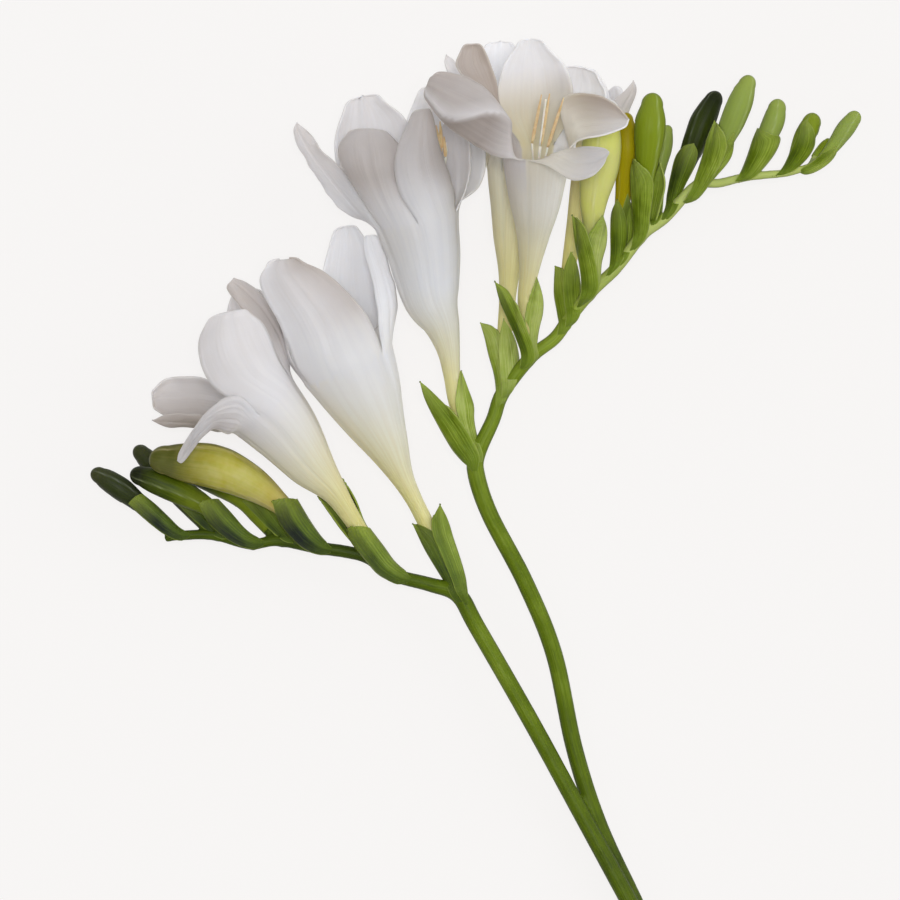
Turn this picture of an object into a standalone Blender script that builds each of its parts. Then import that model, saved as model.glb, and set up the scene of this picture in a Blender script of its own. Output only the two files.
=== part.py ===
"""Freesia: a cut, forked stem with six open flowers, fifteen buds and their green bracts, lying on its side.

Every place in the tables below is in millimetres in the layout: X to the right, Y along the spray towards
its flowers, Z up from the surface that the spray lies on. The last step moves the whole spray so that the
middle of the underside of its bounding box is the origin.
"""

import math

import bmesh
import bpy
import numpy as np
from mathutils import Vector

MM = 0.001
GAP = 0.35  # clear space between a piece and what carries it
SLIVER = 0.05  # edges shorter than this are closed up after a cut
UP = np.array((0.0, 0.0, 1.0))

# Wall thicknesses of the leafy parts.
PETAL_WALL = 0.6
BRACT_WALL = 0.5

BRACT_TIP = 0.08  # width of a bract's tip as a share of its full width

# A bract begins this far along its floret's axis, or further where the stem is in its way.
BRACT_FOOT = 1.8
FOOT_STEP = 0.2
FOOT_MARGIN = 0.25

# Mesh density.
STEM_SIDES = 8
STEM_RING_SPACING = 4.0
STUB_SIDES = 8
BUD_SIDES = 10
BUD_RINGS = 8
PETAL_COLUMNS = 4
PETAL_ROWS = 6
TUBE_RINGS = 5
BRACT_COLUMNS = 4
BRACT_ROWS = 5
STAMEN_SIDES = 5

# Six tepals share the flower's tube, three inside and three outside.
TEPALS = 6
TEPAL_STEP = 360 / TEPALS
OVERLAP_STEP = 0.55  # how far an outer tepal stands out, and an inner one in
WIDEST = 0.45  # share of a tepal's free length at which it is widest

# The stem's centreline as (x, y, z, radius): the cut end, the fork's leg, then the left spike's axis.
MAIN_STEM = (
    (59.5, -134.0, 1.95, 1.95),
    (47.6, -112.0, 2.2, 1.9),
    (35.6, -90.0, 4.4, 1.8),
    (25.8, -72.0, 5.4, 1.75),
    (16.0, -54.0, 6.3, 1.75),
    (5.4, -35.5, 7.6, 1.75),
    (1.6, -29.0, 8.1, 1.75),
    (-4.0, -27.0, 8.6, 1.5),
    (-11.3, -25.0, 9.0, 1.4),
    (-16.5, -21.6, 7.8, 1.3),
    (-21.0, -20.4, 7.6, 1.3),
    (-26.6, -19.6, 7.8, 1.3),
    (-34.5, -18.2, 7.4, 1.15),
    (-40.3, -18.9, 7.6, 1.1),
    (-47.5, -17.1, 7.0, 1.05),
    (-54.6, -17.2, 7.0, 1.0),
    (-57.2, -17.9, 6.8, 0.7),
)
# The side branch leaves the stem at the fork and carries the right spike.
SIDE_BRANCH = (
    (46.4, -110.0, 2.4, 1.3),
    (42.4, -102.0, 1.95, 1.7),
    (37.0, -90.6, 1.8, 1.75),
    (30.0, -75.5, 2.3, 1.75),
    (25.0, -60.0, 3.4, 1.75),
    (20.9, -41.0, 5.2, 1.75),
    (15.1, -26.6, 6.9, 1.75),
    (8.0, -13.0, 8.4, 1.75),
    (5.2, -4.6, 9.1, 1.8),
    (5.6, -0.6, 9.3, 1.65),
    (8.6, 6.0, 9.4, 1.5),
    (10.6, 11.5, 9.4, 1.5),
    (16.2, 18.6, 10.0, 1.4),
    (21.0, 22.4, 9.8, 1.35),
    (24.0, 26.6, 9.8, 1.35),
    (28.4, 31.8, 10.4, 1.3),
    (33.4, 36.6, 10.0, 1.25),
    (38.6, 43.2, 10.2, 1.25),
    (43.2, 46.6, 9.8, 1.15),
    (49.3, 53.0, 9.6, 1.1),
    (54.0, 53.5, 9.2, 0.95),
    (59.6, 54.8, 8.8, 0.9),
    (67.6, 55.6, 8.4, 0.8),
    (72.2, 56.9, 8.2, 0.65),
)

# A tepal row: (angle round the tube, free points of its midrib, widest half-width, cup in degrees, tip).
# Angle 0 faces straight up and 90 faces the right-hand side of the flower's own direction. Tip is the
# exponent of the outline there: 0.5 is round and 0.9 is pointed.
# A bract row: (angle, length, half-angle that it wraps at its foot, flare at its tip, notch, tip).
# A negative notch makes the middle the longest part and a positive one leaves two teeth at the edges.
FLOWERS = {
    "flower_1": {
        "seat": 7.0,
        "axis": (
            (-11.3, -25.0, 9.0, 1.3),
            (-15.2, -20.2, 9.8, 1.5),
            (-18.7, -15.2, 10.6, 1.7),
            (-23.0, -8.6, 11.8, 2.6),
            (-28.0, -2.8, 13.2, 4.9),
            (-33.0, 4.0, 14.6, 6.8),
            (-37.3, 8.7, 15.6, 8.0),
        ),
        "tepals": (
            (30, ((-42.0, 18.0, 25.5), (-44.3, 27.6, 23.5)), 7.2, 40, 0.5),
            (90, ((-33.2, 22.0, 18.0), (-38.0, 30.0, 18.5), (-44.0, 33.7, 17.5)), 5.6, 35, 0.6),
            (150, ((-37.5, 20.0, 4.0), (-41.0, 32.4, 2.5)), 6.0, 30, 0.5),
            (210, ((-47.0, 11.5, 5.0), (-54.0, 11.2, 2.5), (-59.8, 10.2, 3.5)), 5.2, 25, 0.5),
            (270, ((-46.0, 4.4, 12.5), (-53.0, 4.9, 10.0), (-59.7, 5.9, 8.5)), 5.0, 25, 0.6),
            (330, ((-43.0, 7.0, 23.6), (-49.3, 3.4, 25.0), (-54.3, -2.2, 22.5)), 4.4, 30, 0.8),
        ),
        "bracts": (
            ("outer_bract", 0, 12.5, 88, 0.3, 0.0, 0.12),
            ("inner_bract", 180, 13.5, 78, 0.9, 8.0, 0.12),
        ),
    },
    "flower_2": {
        "axis": (
            (1.6, -29.0, 8.0, 1.3),
            (-1.4, -21.5, 8.6, 1.5),
            (-4.9, -14.5, 9.2, 1.6),
            (-7.2, -10.0, 9.8, 1.7),
            (-9.8, -5.0, 10.6, 2.5),
            (-12.8, 1.5, 11.8, 4.6),
            (-16.8, 9.8, 13.2, 7.7),
            (-20.3, 17.0, 14.4, 9.6),
        ),
        "tepals": (
            (350, ((-26.4, 27.0, 26.5), (-34.3, 37.2, 23.5)), 10.2, 48, 0.5),
            (50, ((-13.0, 29.0, 19.5), (-14.0, 37.0, 19.5), (-16.6, 43.2, 17.5)), 5.2, 35, 0.7),
            (110, ((-13.8, 28.0, 10.5), (-16.5, 38.5, 10.0)), 6.0, 35, 0.5),
            (170, ((-18.5, 30.0, 3.3), (-20.8, 44.8, 3.1)), 6.4, 25, 0.5),
            (230, ((-27.0, 27.0, 4.5), (-31.0, 35.5, 4.5)), 6.0, 35, 0.5),
            (290, ((-29.5, 24.0, 14.5), (-34.0, 33.0, 13.5)), 6.0, 40, 0.6),
        ),
        "bracts": (
            ("outer_bract", 48, 18.0, 76, 1.6, -4.0, 0.6),
            ("inner_bract", 262, 14.0, 62, 1.0, -2.0, 0.3),
        ),
    },
    "flower_3": {
        "seat": 5.5,
        "axis": (
            (5.2, -3.0, 9.0, 1.3),
            (3.2, 3.0, 9.4, 1.5),
            (1.2, 10.0, 10.0, 1.6),
            (0.4, 15.0, 10.6, 1.7),
            (-0.3, 20.0, 11.4, 2.3),
            (-1.6, 25.0, 12.4, 3.6),
            (-3.8, 30.5, 13.4, 5.7),
            (-5.2, 39.5, 14.8, 7.3),
            (-6.6, 46.0, 15.8, 8.6),
        ),
        "tepals": (
            (335, ((-13.0, 55.0, 25.5), (-17.2, 64.6, 24.0)), 7.0, 38, 0.4),
            (35, ((-5.2, 57.0, 25.5), (-5.6, 68.0, 23.5)), 5.4, 42, 0.5),
            (95, ((2.4, 55.5, 16.5), (1.6, 66.5, 16.5)), 6.4, 40, 0.5),
            (155, ((0.2, 58.0, 3.0), (-3.6, 72.8, 1.6)), 6.4, 28, 0.5),
            (215, ((-13.5, 58.0, 3.6), (-16.5, 70.6, 3.2)), 7.0, 35, 0.5),
            (275, ((-20.5, 53.0, 13.5), (-26.5, 58.8, 12.5), (-30.8, 65.4, 11.0)), 4.6, 35, 0.8),
        ),
        "bracts": (
            ("outer_bract", 300, 18.5, 76, 4.6, -5.0, 0.6),
            ("inner_bract", 92, 18.0, 70, 0.9, -5.0, 0.6),
        ),
    },
    "flower_4": {
        "axis": (
            (16.2, 18.6, 10.0, 1.2),
            (15.3, 24.0, 13.0, 1.4),
            (15.0, 30.0, 15.8, 1.5),
            (15.8, 36.0, 18.2, 2.0),
            (16.6, 43.0, 20.8, 3.4),
            (17.0, 50.0, 23.6, 5.1),
            (17.2, 57.2, 27.6, 6.4),
        ),
        "tepals": (
            (0, ((20.5, 58.8, 35.0), (26.0, 57.6, 36.5), (31.3, 58.6, 33.5)), 4.4, 30, 0.6),
            (60, ((24.5, 64.8, 34.0), (30.0, 66.4, 35.0), (35.5, 65.4, 33.5)), 5.2, 35, 0.7),
            (120, ((23.3, 69.0, 28.0), (28.3, 75.4, 28.0)), 5.8, 30, 0.5),
            (180, ((15.8, 69.5, 24.5), (16.0, 81.8, 27.0)), 7.6, 32, 0.5),
            (240, ((8.3, 66.5, 26.5), (6.0, 74.0, 28.5), (4.4, 80.7, 29.5)), 5.2, 35, 0.6),
            (300, ((9.5, 61.8, 35.5), (2.6, 66.6, 37.5), (-4.3, 72.0, 34.5)), 5.6, 35, 0.5),
        ),
        "bracts": (
            ("outer_bract", 305, 18.5, 70, 3.0, -5.0, 0.6),
            ("inner_bract", 85, 16.5, 60, 1.0, -4.0, 0.6),
        ),
    },
    "flower_5": {
        "axis": (
            (10.6, 11.5, 9.0, 1.2),
            (10.6, 17.0, 8.4, 1.4),
            (11.0, 24.0, 8.4, 1.5),
            (11.5, 30.0, 8.8, 1.7),
            (11.9, 36.0, 9.2, 2.3),
            (12.3, 43.0, 9.8, 3.7),
            (12.9, 50.0, 10.2, 4.9),
            (13.0, 56.0, 10.6, 5.5),
        ),
        "tepals": (
            (0, ((14.0, 65.0, 16.5), (14.0, 73.0, 17.0)), 4.6, 45, 0.5),
            (60, ((18.0, 64.5, 13.0), (19.0, 72.0, 12.5)), 4.4, 45, 0.5),
            (120, ((17.5, 66.0, 6.0), (19.0, 76.0, 4.5)), 4.8, 40, 0.5),
            (180, ((11.8, 68.0, 1.8), (9.8, 82.0, 0.8)), 5.6, 30, 0.5),
            (240, ((7.4, 67.0, 8.6), (3.0, 74.0, 8.8), (-0.8, 79.2, 9.8)), 3.4, 35, 0.7),
            (300, ((8.6, 65.0, 14.5), (7.0, 73.0, 15.5)), 4.2, 40, 0.5),
        ),
        "bracts": (
            ("outer_bract", 283, 14.5, 62, 1.8, -2.0, 0.4),
            ("inner_bract", 40, 15.5, 48, 0.7, -4.0, 0.6),
        ),
    },
    "flower_6": {
        "axis": (
            (24.0, 26.6, 9.4, 1.2),
            (23.4, 32.0, 8.4, 1.3),
            (24.0, 38.0, 8.0, 1.5),
            (25.4, 44.0, 7.8, 2.2),
            (27.0, 50.0, 7.6, 3.2),
            (28.6, 56.0, 7.4, 4.2),
            (29.6, 60.0, 7.4, 4.6),
        ),
        "tepals": (
            (20, ((31.2, 65.0, 12.0), (31.4, 70.0, 12.5)), 3.6, 45, 0.5),
            (80, ((34.6, 66.2, 6.6), (35.8, 69.5, 6.4), (36.9, 74.0, 6.2)), 2.6, 35, 0.8),
            (140, ((32.6, 66.5, 2.5), (33.0, 73.0, 1.5)), 3.8, 40, 0.5),
            (200, ((28.8, 68.0, 1.0), (28.0, 76.4, 0.8)), 4.6, 30, 0.5),
            (260, ((25.2, 65.5, 5.0), (24.4, 72.0, 5.0)), 3.6, 40, 0.5),
            (320, ((27.0, 64.5, 11.5), (26.4, 70.5, 12.0)), 3.4, 45, 0.5),
        ),
        "bracts": (
            ("outer_bract", 285, 12.5, 61, 0.8, -1.0, 0.3),
            ("inner_bract", 42, 15.0, 46, 0.6, -4.0, 0.6),
        ),
    },
}

# Buds, in the same form: the axis runs from the stem to the bud's closed tip.
BUDS = {
    "bud_01": {
        "axis": (
            (-26.6, -19.6, 8.0, 1.3),
            (-30.0, -15.0, 9.0, 1.6),
            (-34.3, -10.6, 10.6, 2.2),
            (-40.0, -6.5, 12.4, 3.6),
            (-47.0, -3.4, 13.4, 4.4),
            (-54.0, -2.4, 13.4, 3.7),
            (-58.6, -1.8, 13.0, 2.1),
            (-60.2, -1.5, 12.8, 0.6),
        ),
        "colour": "bud_yellow",
        "bracts": (
            ("outer_bract", 35, 12.5, 95, 0.6, 0.0, 0.1),
        ),
    },
    "bud_02": {
        "axis": (
            (-34.5, -18.2, 7.0, 1.1),
            (-38.2, -14.0, 5.4, 1.4),
            (-42.0, -10.0, 4.2, 1.7),
            (-47.0, -6.5, 3.4, 2.5),
            (-52.0, -4.0, 3.0, 2.4),
            (-56.5, -2.2, 2.8, 0.6),
        ),
        "colour": "bud_green",
        "bracts": (
            ("outer_bract", 20, 10.5, 100, 0.3, 0.0, 0.1),
        ),
    },
    "bud_03": {
        "seat": 4.6,
        "axis": (
            (-40.3, -18.9, 7.6, 1.1),
            (-44.6, -15.0, 8.2, 1.5),
            (-49.0, -11.2, 9.2, 1.9),
            (-54.0, -8.4, 10.0, 2.6),
            (-59.5, -6.0, 10.4, 2.5),
            (-63.0, -4.9, 10.4, 1.5),
            (-64.1, -4.6, 10.3, 0.5),
        ),
        "colour": "bud_green",
        "bracts": (
            ("outer_bract", 10, 12.0, 105, 0.5, 0.0, 0.1),
        ),
    },
    "bud_04": {
        "axis": (
            (-47.5, -17.1, 6.6, 1.0),
            (-51.0, -13.4, 5.2, 1.3),
            (-54.4, -9.6, 4.2, 1.7),
            (-58.0, -5.0, 3.6, 2.1),
            (-61.4, -1.3, 3.4, 1.9),
            (-63.4, 0.6, 3.4, 0.6),
        ),
        "colour": "bud_green",
        "bracts": (
            ("outer_bract", 0, 8.5, 100, 0.3, 0.0, 0.1),
        ),
    },
    "bud_05": {
        "axis": (
            (-54.6, -17.2, 7.0, 0.9),
            (-58.6, -14.2, 7.6, 1.5),
            (-62.4, -10.6, 8.0, 1.8),
            (-66.0, -7.8, 8.2, 2.3),
            (-69.6, -5.5, 8.2, 1.9),
            (-72.0, -4.3, 8.2, 0.5),
        ),
        "colour": "bud_green",
        "bracts": (
            ("outer_bract", 0, 10.5, 105, 0.5, 0.0, 0.1),
        ),
    },
    "bud_06": {
        "axis": (
            (28.4, 31.8, 10.4, 1.2),
            (28.2, 38.0, 13.6, 1.4),
            (28.4, 44.0, 16.4, 1.8),
            (28.7, 50.0, 18.2, 2.8),
            (29.8, 56.0, 19.2, 3.8),
            (30.4, 61.5, 19.8, 3.9),
            (30.8, 66.5, 20.2, 2.6),
            (31.0, 69.5, 20.4, 0.7),
        ),
        "colour": "bud_yellow",
        "bracts": (
            ("outer_bract", 310, 17.0, 70, 1.4, -5.0, 0.6),
            ("inner_bract", 85, 16.0, 58, 0.9, -4.0, 0.6),
        ),
    },
    "bud_07": {
        "axis": (
            (33.4, 36.6, 9.8, 1.1),
            (33.7, 42.0, 8.8, 1.3),
            (34.4, 48.5, 9.4, 1.4),
            (35.1, 54.0, 10.6, 1.9),
            (35.5, 60.0, 11.6, 2.4),
            (35.4, 64.6, 12.0, 1.9),
            (35.3, 67.6, 12.2, 0.5),
        ),
        "colour": "bud_yellow",
        "bracts": (
            ("outer_bract", 300, 13.0, 62, 0.4, -1.0, 0.4),
            ("inner_bract", 50, 12.5, 42, 0.4, -2.0, 0.5),
        ),
    },
    "bud_08": {
        "axis": (
            (38.6, 43.2, 10.2, 1.2),
            (38.7, 48.5, 12.6, 1.5),
            (39.0, 54.5, 15.0, 1.9),
            (39.6, 60.0, 16.6, 2.7),
            (40.0, 65.0, 17.2, 3.1),
            (40.4, 69.0, 17.4, 2.1),
            (40.6, 71.4, 17.4, 0.6),
        ),
        "colour": "bud_green",
        "bracts": (
            ("outer_bract", 350, 15.0, 78, 0.5, -2.0, 0.5),
            ("inner_bract", 184, 13.6, 63, 0.5, -1.2, 0.5),
        ),
    },
    "bud_09": {
        "axis": (
            (41.2, 45.2, 9.6, 0.8),
            (41.2, 49.0, 5.8, 1.1),
            (41.6, 55.0, 4.6, 1.4),
            (43.0, 60.5, 4.6, 1.6),
            (43.6, 63.6, 4.6, 1.2),
            (43.8, 65.3, 4.6, 0.4),
        ),
        "colour": "bud_green",
        "bracts": (
            ("outer_bract", 24, 9.8, 80, 0.3, -1.2, 0.4),
        ),
    },
    "bud_10": {
        "axis": (
            (43.9, 47.4, 9.4, 0.9),
            (45.4, 52.4, 8.0, 1.3),
            (47.4, 57.5, 7.4, 1.9),
            (49.2, 62.0, 7.2, 2.4),
            (51.0, 66.5, 7.2, 2.5),
            (53.0, 70.3, 7.4, 1.7),
            (53.9, 71.9, 7.4, 0.5),
        ),
        "colour": "bud_green",
        "bracts": (
            ("outer_bract", 15, 13.5, 92, 0.3, -1.0, 0.4),
        ),
    },
    "bud_11": {
        "axis": (
            (49.3, 53.0, 9.6, 1.0),
            (52.3, 57.0, 11.4, 1.5),
            (54.6, 61.5, 13.0, 1.9),
            (56.6, 66.0, 14.2, 2.5),
            (58.4, 70.5, 14.8, 2.4),
            (59.6, 73.6, 14.8, 1.5),
            (60.0, 75.0, 14.8, 0.5),
        ),
        "colour": "bud_green",
        "bracts": (
            ("outer_bract", 325, 14.0, 84, 0.3, -3.0, 0.5),
            ("inner_bract", 145, 11.5, 70, 0.3, -1.0, 0.4),
        ),
    },
    "bud_12": {
        "axis": (
            (59.6, 54.8, 8.8, 0.8),
            (61.8, 58.5, 9.0, 1.3),
            (63.6, 62.5, 9.2, 1.6),
            (65.0, 66.2, 9.4, 1.8),
            (65.9, 68.9, 9.4, 1.2),
            (66.2, 70.4, 9.4, 0.4),
        ),
        "colour": "bud_green",
        "bracts": (
            ("outer_bract", 20, 9.6, 90, 0.45, -0.8, 0.3),
        ),
    },
    "bud_13": {
        "axis": (
            (67.6, 55.6, 8.4, 0.7),
            (69.6, 59.0, 8.8, 1.2),
            (71.4, 62.4, 9.0, 1.5),
            (73.0, 65.4, 9.0, 1.3),
            (73.8, 67.6, 9.0, 0.4),
        ),
        "colour": "bud_green",
        "bracts": (
            ("outer_bract", 340, 11.0, 96, 0.2, -2.0, 0.5),
        ),
    },
    "bud_14": {
        "axis": (
            (71.8, 56.8, 8.2, 0.5),
            (73.8, 59.6, 5.8, 0.8),
            (75.4, 61.5, 5.2, 0.8),
            (76.3, 62.5, 5.0, 0.3),
        ),
        "colour": "bud_green",
        "bracts": (),
    },
    "bud_15": {
        "axis": (
            (72.2, 56.9, 8.2, 0.6),
            (75.0, 58.8, 8.4, 0.9),
            (77.4, 61.3, 8.6, 1.2),
            (79.6, 64.5, 8.6, 1.5),
            (81.3, 66.6, 8.6, 1.2),
            (82.0, 67.8, 8.6, 0.4),
        ),
        "colour": "bud_green",
        "bracts": (
            ("outer_bract", 340, 5.5, 100, 0.2, -1.0, 0.4),
        ),
    },
}

# Stamens and style of the flowers whose mouths show: where they part, and how far they run past the mouth.
STAMENS = {"flower_1": 7.0, "flower_2": 6.0, "flower_3": 8.0, "flower_4": 10.0}
FILAMENT_RADIUS = 0.3
ANTHER_RADIUS = 0.5
STAMEN_SPREAD = 1.7
STAMEN_START = 0.28  # share of the tube's length at which they stand in the tube's narrow part
STAMEN_FOOT = 4.0

SEAT = 3.6  # length of the stem's short stalk under a floret whose table gives none
SEAT_SHARE = 0.92  # stalk radius as a share of the floret's own there

COLOURS = {
    "stem_green": ((0.33, 0.47, 0.16, 1.0), 0.45),
    "bract_green": ((0.36, 0.52, 0.17, 1.0), 0.5),
    "bud_green": ((0.38, 0.54, 0.20, 1.0), 0.45),
    "bud_yellow": ((0.66, 0.68, 0.22, 1.0), 0.45),
    "petal_white": ((0.88, 0.87, 0.86, 1.0), 0.55),
    "stamen_gold": ((0.80, 0.62, 0.34, 1.0), 0.6),
}


def smooth(rows, steps):
    """Rows of numbers with a Catmull-Rom curve drawn through them, steps points to each span."""
    rows = np.array(rows, float)
    padded = np.vstack((2 * rows[0] - rows[1], rows, 2 * rows[-1] - rows[-2]))
    points = []
    for i in range(len(rows) - 1):
        a, b, c, d = padded[i : i + 4]
        for t in np.arange(steps) / steps:
            bend = 2 * a - 5 * b + 4 * c - d
            twist = 3 * b - a - 3 * c + d
            points.append(0.5 * (2 * b + (c - a) * t + bend * t**2 + twist * t**3))
    return np.array([*points, rows[-1]])


def unit(vector):
    return vector / np.linalg.norm(vector)


def ease(t):
    """0 below 0, 1 above 1, and a smooth step between."""
    t = min(max(t, 0.0), 1.0)
    return t * t * (3 - 2 * t)


class Axis:
    """A smooth centreline with a radius, read by the distance along it in millimetres."""

    def __init__(self, rows, steps=10):
        points = smooth(rows, steps)
        self.points, self.radii = points[:, :3], np.maximum(points[:, 3], 0.05)
        self.far = np.concatenate(([0], np.cumsum(np.linalg.norm(np.diff(self.points, axis=0), axis=1))))
        self.length = self.far[-1]

    def at(self, far):
        return np.array([np.interp(far, self.far, self.points[:, i]) for i in range(3)])

    def radius(self, far):
        return float(np.interp(far, self.far, self.radii))

    def frame(self, far):
        """The direction along the line, the side that faces up, and the side at its right."""
        step = 0.5
        along = unit(self.at(min(far + step, self.length)) - self.at(max(far - step, 0)))
        upper = unit(UP - along.dot(UP) * along)
        return along, upper, np.cross(along, upper)

    def clearance(self, point):
        """The distance from a point to the round bar along this line."""
        return float((np.linalg.norm(self.points - point, axis=1) - self.radii).min())

    def around(self, far, angle, out):
        """The point at an angle in degrees round the line, out millimetres from it."""
        _, upper, right = self.frame(far)
        turn = math.radians(angle)
        return self.at(far) + out * (math.cos(turn) * upper + math.sin(turn) * right)


def new_object(name, mesh, material=None):
    mesh.name = name
    thing = bpy.data.objects.new(name, mesh)
    bpy.context.scene.collection.objects.link(thing)
    if material:
        mesh.materials.append(material)
    return thing


def mesh_from(points, faces):
    """A mesh from points in layout millimetres."""
    mesh = bpy.data.meshes.new("shape")
    mesh.from_pydata([tuple(p * MM) for p in points], [], faces)
    mesh.validate()
    return mesh


def apply_modifiers(thing):
    graph = bpy.context.evaluated_depsgraph_get()
    mesh = bpy.data.meshes.new_from_object(thing.evaluated_get(graph))
    thing.modifiers.clear()
    thing.data = mesh
    return thing


def thicken(thing, wall):
    solidify = thing.modifiers.new("wall", "SOLIDIFY")
    solidify.thickness = wall * MM
    solidify.offset = -1
    apply_modifiers(thing)


def heal(thing):
    """Closes up the slivers that a Boolean leaves."""
    shape = bmesh.new()
    shape.from_mesh(thing.data)
    bmesh.ops.remove_doubles(shape, verts=shape.verts, dist=SLIVER * MM)
    bmesh.ops.dissolve_degenerate(shape, edges=shape.edges, dist=SLIVER * MM)
    shape.to_mesh(thing.data)
    shape.free()


def tube_mesh(axis, start, end, sides, rings, share=1.0):
    """A closed round bar along part of an axis."""
    points, faces = [], []
    for i in range(rings + 1):
        far = start + (end - start) * i / rings
        for side in range(sides):
            points.append(axis.around(far, 360 * side / sides, axis.radius(far) * share))
    for i in range(rings):
        for side in range(sides):
            a, b = i * sides + side, i * sides + (side + 1) % sides
            faces.append((a, b, b + sides, a + sides))
    faces.append(tuple(range(sides))[::-1])
    faces.append(tuple(range(rings * sides, (rings + 1) * sides)))
    return outward(mesh_from(points, faces))


def outward(mesh):
    """Turns the faces of a closed mesh outwards."""
    shape = bmesh.new()
    shape.from_mesh(mesh)
    bmesh.ops.recalc_face_normals(shape, faces=shape.faces)
    shape.to_mesh(mesh)
    shape.free()
    return mesh


def stem(florets, material):
    """The forked stem with a short stalk under each floret, in one body."""
    body = None
    for rows in (MAIN_STEM, SIDE_BRANCH):
        axis = Axis(rows)
        rings = round(axis.length / STEM_RING_SPACING)
        bar = new_object("stem", tube_mesh(axis, 0, axis.length, STEM_SIDES, rings), material)
        body = bar if body is None else merged(body, bar)
    for floret in florets:
        axis = Axis(floret["axis"])
        stalk = tube_mesh(axis, 0, seat_of(floret), STUB_SIDES, 3, share=SEAT_SHARE)
        body = merged(body, new_object("stalk", stalk))
    heal(body)
    return body


def seat_of(floret):
    """How far along its own axis a floret's stalk ends and the floret begins."""
    return floret.get("seat", SEAT)


def merged(body, other):
    union = body.modifiers.new("union", "BOOLEAN")
    union.operation = "UNION"
    union.object = other
    apply_modifiers(body)
    bpy.data.objects.remove(other)
    return body


def tepal_grid(axis, tepal, outer):
    """Rows of points of a tepal's free part, from the mouth of the tube to its tip."""
    angle, free, width, cup, tip = tepal
    mouth = axis.length
    foot = axis.around(mouth, angle, axis.radius(mouth))
    below = axis.around(mouth - 3, angle, axis.radius(mouth - 3))
    spine = smooth((below, foot, *free), 12)[12:]
    normal = unit(foot - axis.at(mouth))
    far = np.concatenate(([0], np.cumsum(np.linalg.norm(np.diff(spine, axis=0), axis=1))))
    share = far / far[-1]
    foot_width = axis.radius(mouth) * math.radians(TEPAL_STEP / 2)
    foot_bend = 1 / axis.radius(mouth)
    bend = math.radians(cup) / width
    frames = []
    for i in range(len(spine)):
        along = unit(spine[min(i + 1, len(spine) - 1)] - spine[max(i - 1, 0)])
        normal = unit(normal - normal.dot(along) * along)
        frames.append((along, normal))
    rows = []
    for row in range(1, PETAL_ROWS + 1):
        t = math.sin(math.pi / 2 * row / PETAL_ROWS)
        at = np.array([np.interp(t, share, spine[:, i]) for i in range(3)])
        along, normal = frames[int(np.searchsorted(share, t).clip(0, len(spine) - 1))]
        side = np.cross(along, normal)
        stand = (OVERLAP_STEP if outer else -OVERLAP_STEP) * ease(t / 0.3)
        if t < WIDEST:
            half = foot_width + (width - foot_width) * ease(t / WIDEST)
        else:
            half = width * (1 - ((t - WIDEST) / (1 - WIDEST)) ** 2) ** tip
        curve = foot_bend + (bend - foot_bend) * ease(t / WIDEST)
        if row == PETAL_ROWS:
            rows.append([at + stand * normal])
            continue
        points = []
        for column in range(PETAL_COLUMNS + 1):
            across = (2 * column / PETAL_COLUMNS - 1) * half
            turn = across * curve
            points.append(
                at + math.sin(turn) / curve * side + (stand - (1 - math.cos(turn)) / curve) * normal
            )
        rows.append(points)
    return rows


def flower(name, table, material):
    """The fused tube with its six tepals, in one thin-walled body, closed at its foot."""
    axis = Axis(table["axis"])
    around = TEPALS * PETAL_COLUMNS
    first_angle = table["tepals"][0][0] - TEPAL_STEP / 2
    start = seat_of(table) + GAP
    points = [axis.at(start)]
    for ring in range(TUBE_RINGS + 1):
        far = start + (axis.length - start) * ring / TUBE_RINGS
        for i in range(around):
            points.append(axis.around(far, first_angle + 360 * i / around, axis.radius(far)))
    faces = [(0, 1 + (i + 1) % around, 1 + i) for i in range(around)]
    for ring in range(TUBE_RINGS):
        low = 1 + ring * around
        for i in range(around):
            a, b = low + i, low + (i + 1) % around
            faces.append((a, b, b + around, a + around))
    mouth = 1 + TUBE_RINGS * around
    for k, tepal in enumerate(table["tepals"]):
        below = [mouth + (k * PETAL_COLUMNS + i) % around for i in range(PETAL_COLUMNS + 1)]
        for row in tepal_grid(axis, tepal, outer=k % 2 == 0):
            here = list(range(len(points), len(points) + len(row)))
            points.extend(row)
            for i in range(PETAL_COLUMNS):
                if len(row) == 1:
                    faces.append((below[i], below[i + 1], here[0]))
                else:
                    faces.append((below[i], below[i + 1], here[i + 1], here[i]))
            below = here
    thing = new_object(name, mesh_from(points, faces), material)
    thicken(thing, PETAL_WALL)
    return thing


def bud(name, table, material):
    """A closed bud: a round body along its axis, from its seat to its tip."""
    axis = Axis(table["axis"])
    start = seat_of(table) + GAP
    points, faces = [axis.at(start)], []
    for ring in range(BUD_RINGS):
        far = start + (axis.length - start) * ring / BUD_RINGS
        for side in range(BUD_SIDES):
            points.append(axis.around(far, 360 * side / BUD_SIDES, axis.radius(far)))
    points.append(axis.at(axis.length))
    for side in range(BUD_SIDES):
        after = (side + 1) % BUD_SIDES
        faces.append((0, 1 + after, 1 + side))
        for ring in range(BUD_RINGS - 1):
            low = 1 + ring * BUD_SIDES
            faces.append((low + side, low + after, low + BUD_SIDES + after, low + BUD_SIDES + side))
        low = 1 + (BUD_RINGS - 1) * BUD_SIDES
        faces.append((low + side, low + after, len(points) - 1))
    return new_object(name, outward(mesh_from(points, faces)), material)


def clear_foot(axis, angle, bars):
    """How far along the axis a bract can begin at this angle, to stand clear of the stem's bars."""
    far = BRACT_FOOT
    while far < axis.length / 2:
        low = axis.around(far, angle, axis.radius(far) + GAP)
        high = axis.around(far, angle, axis.radius(far) + GAP + BRACT_WALL)
        if all(bar.clearance(point) > GAP + FOOT_MARGIN for bar in bars for point in (low, high)):
            break
        far += FOOT_STEP
    return far


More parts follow.
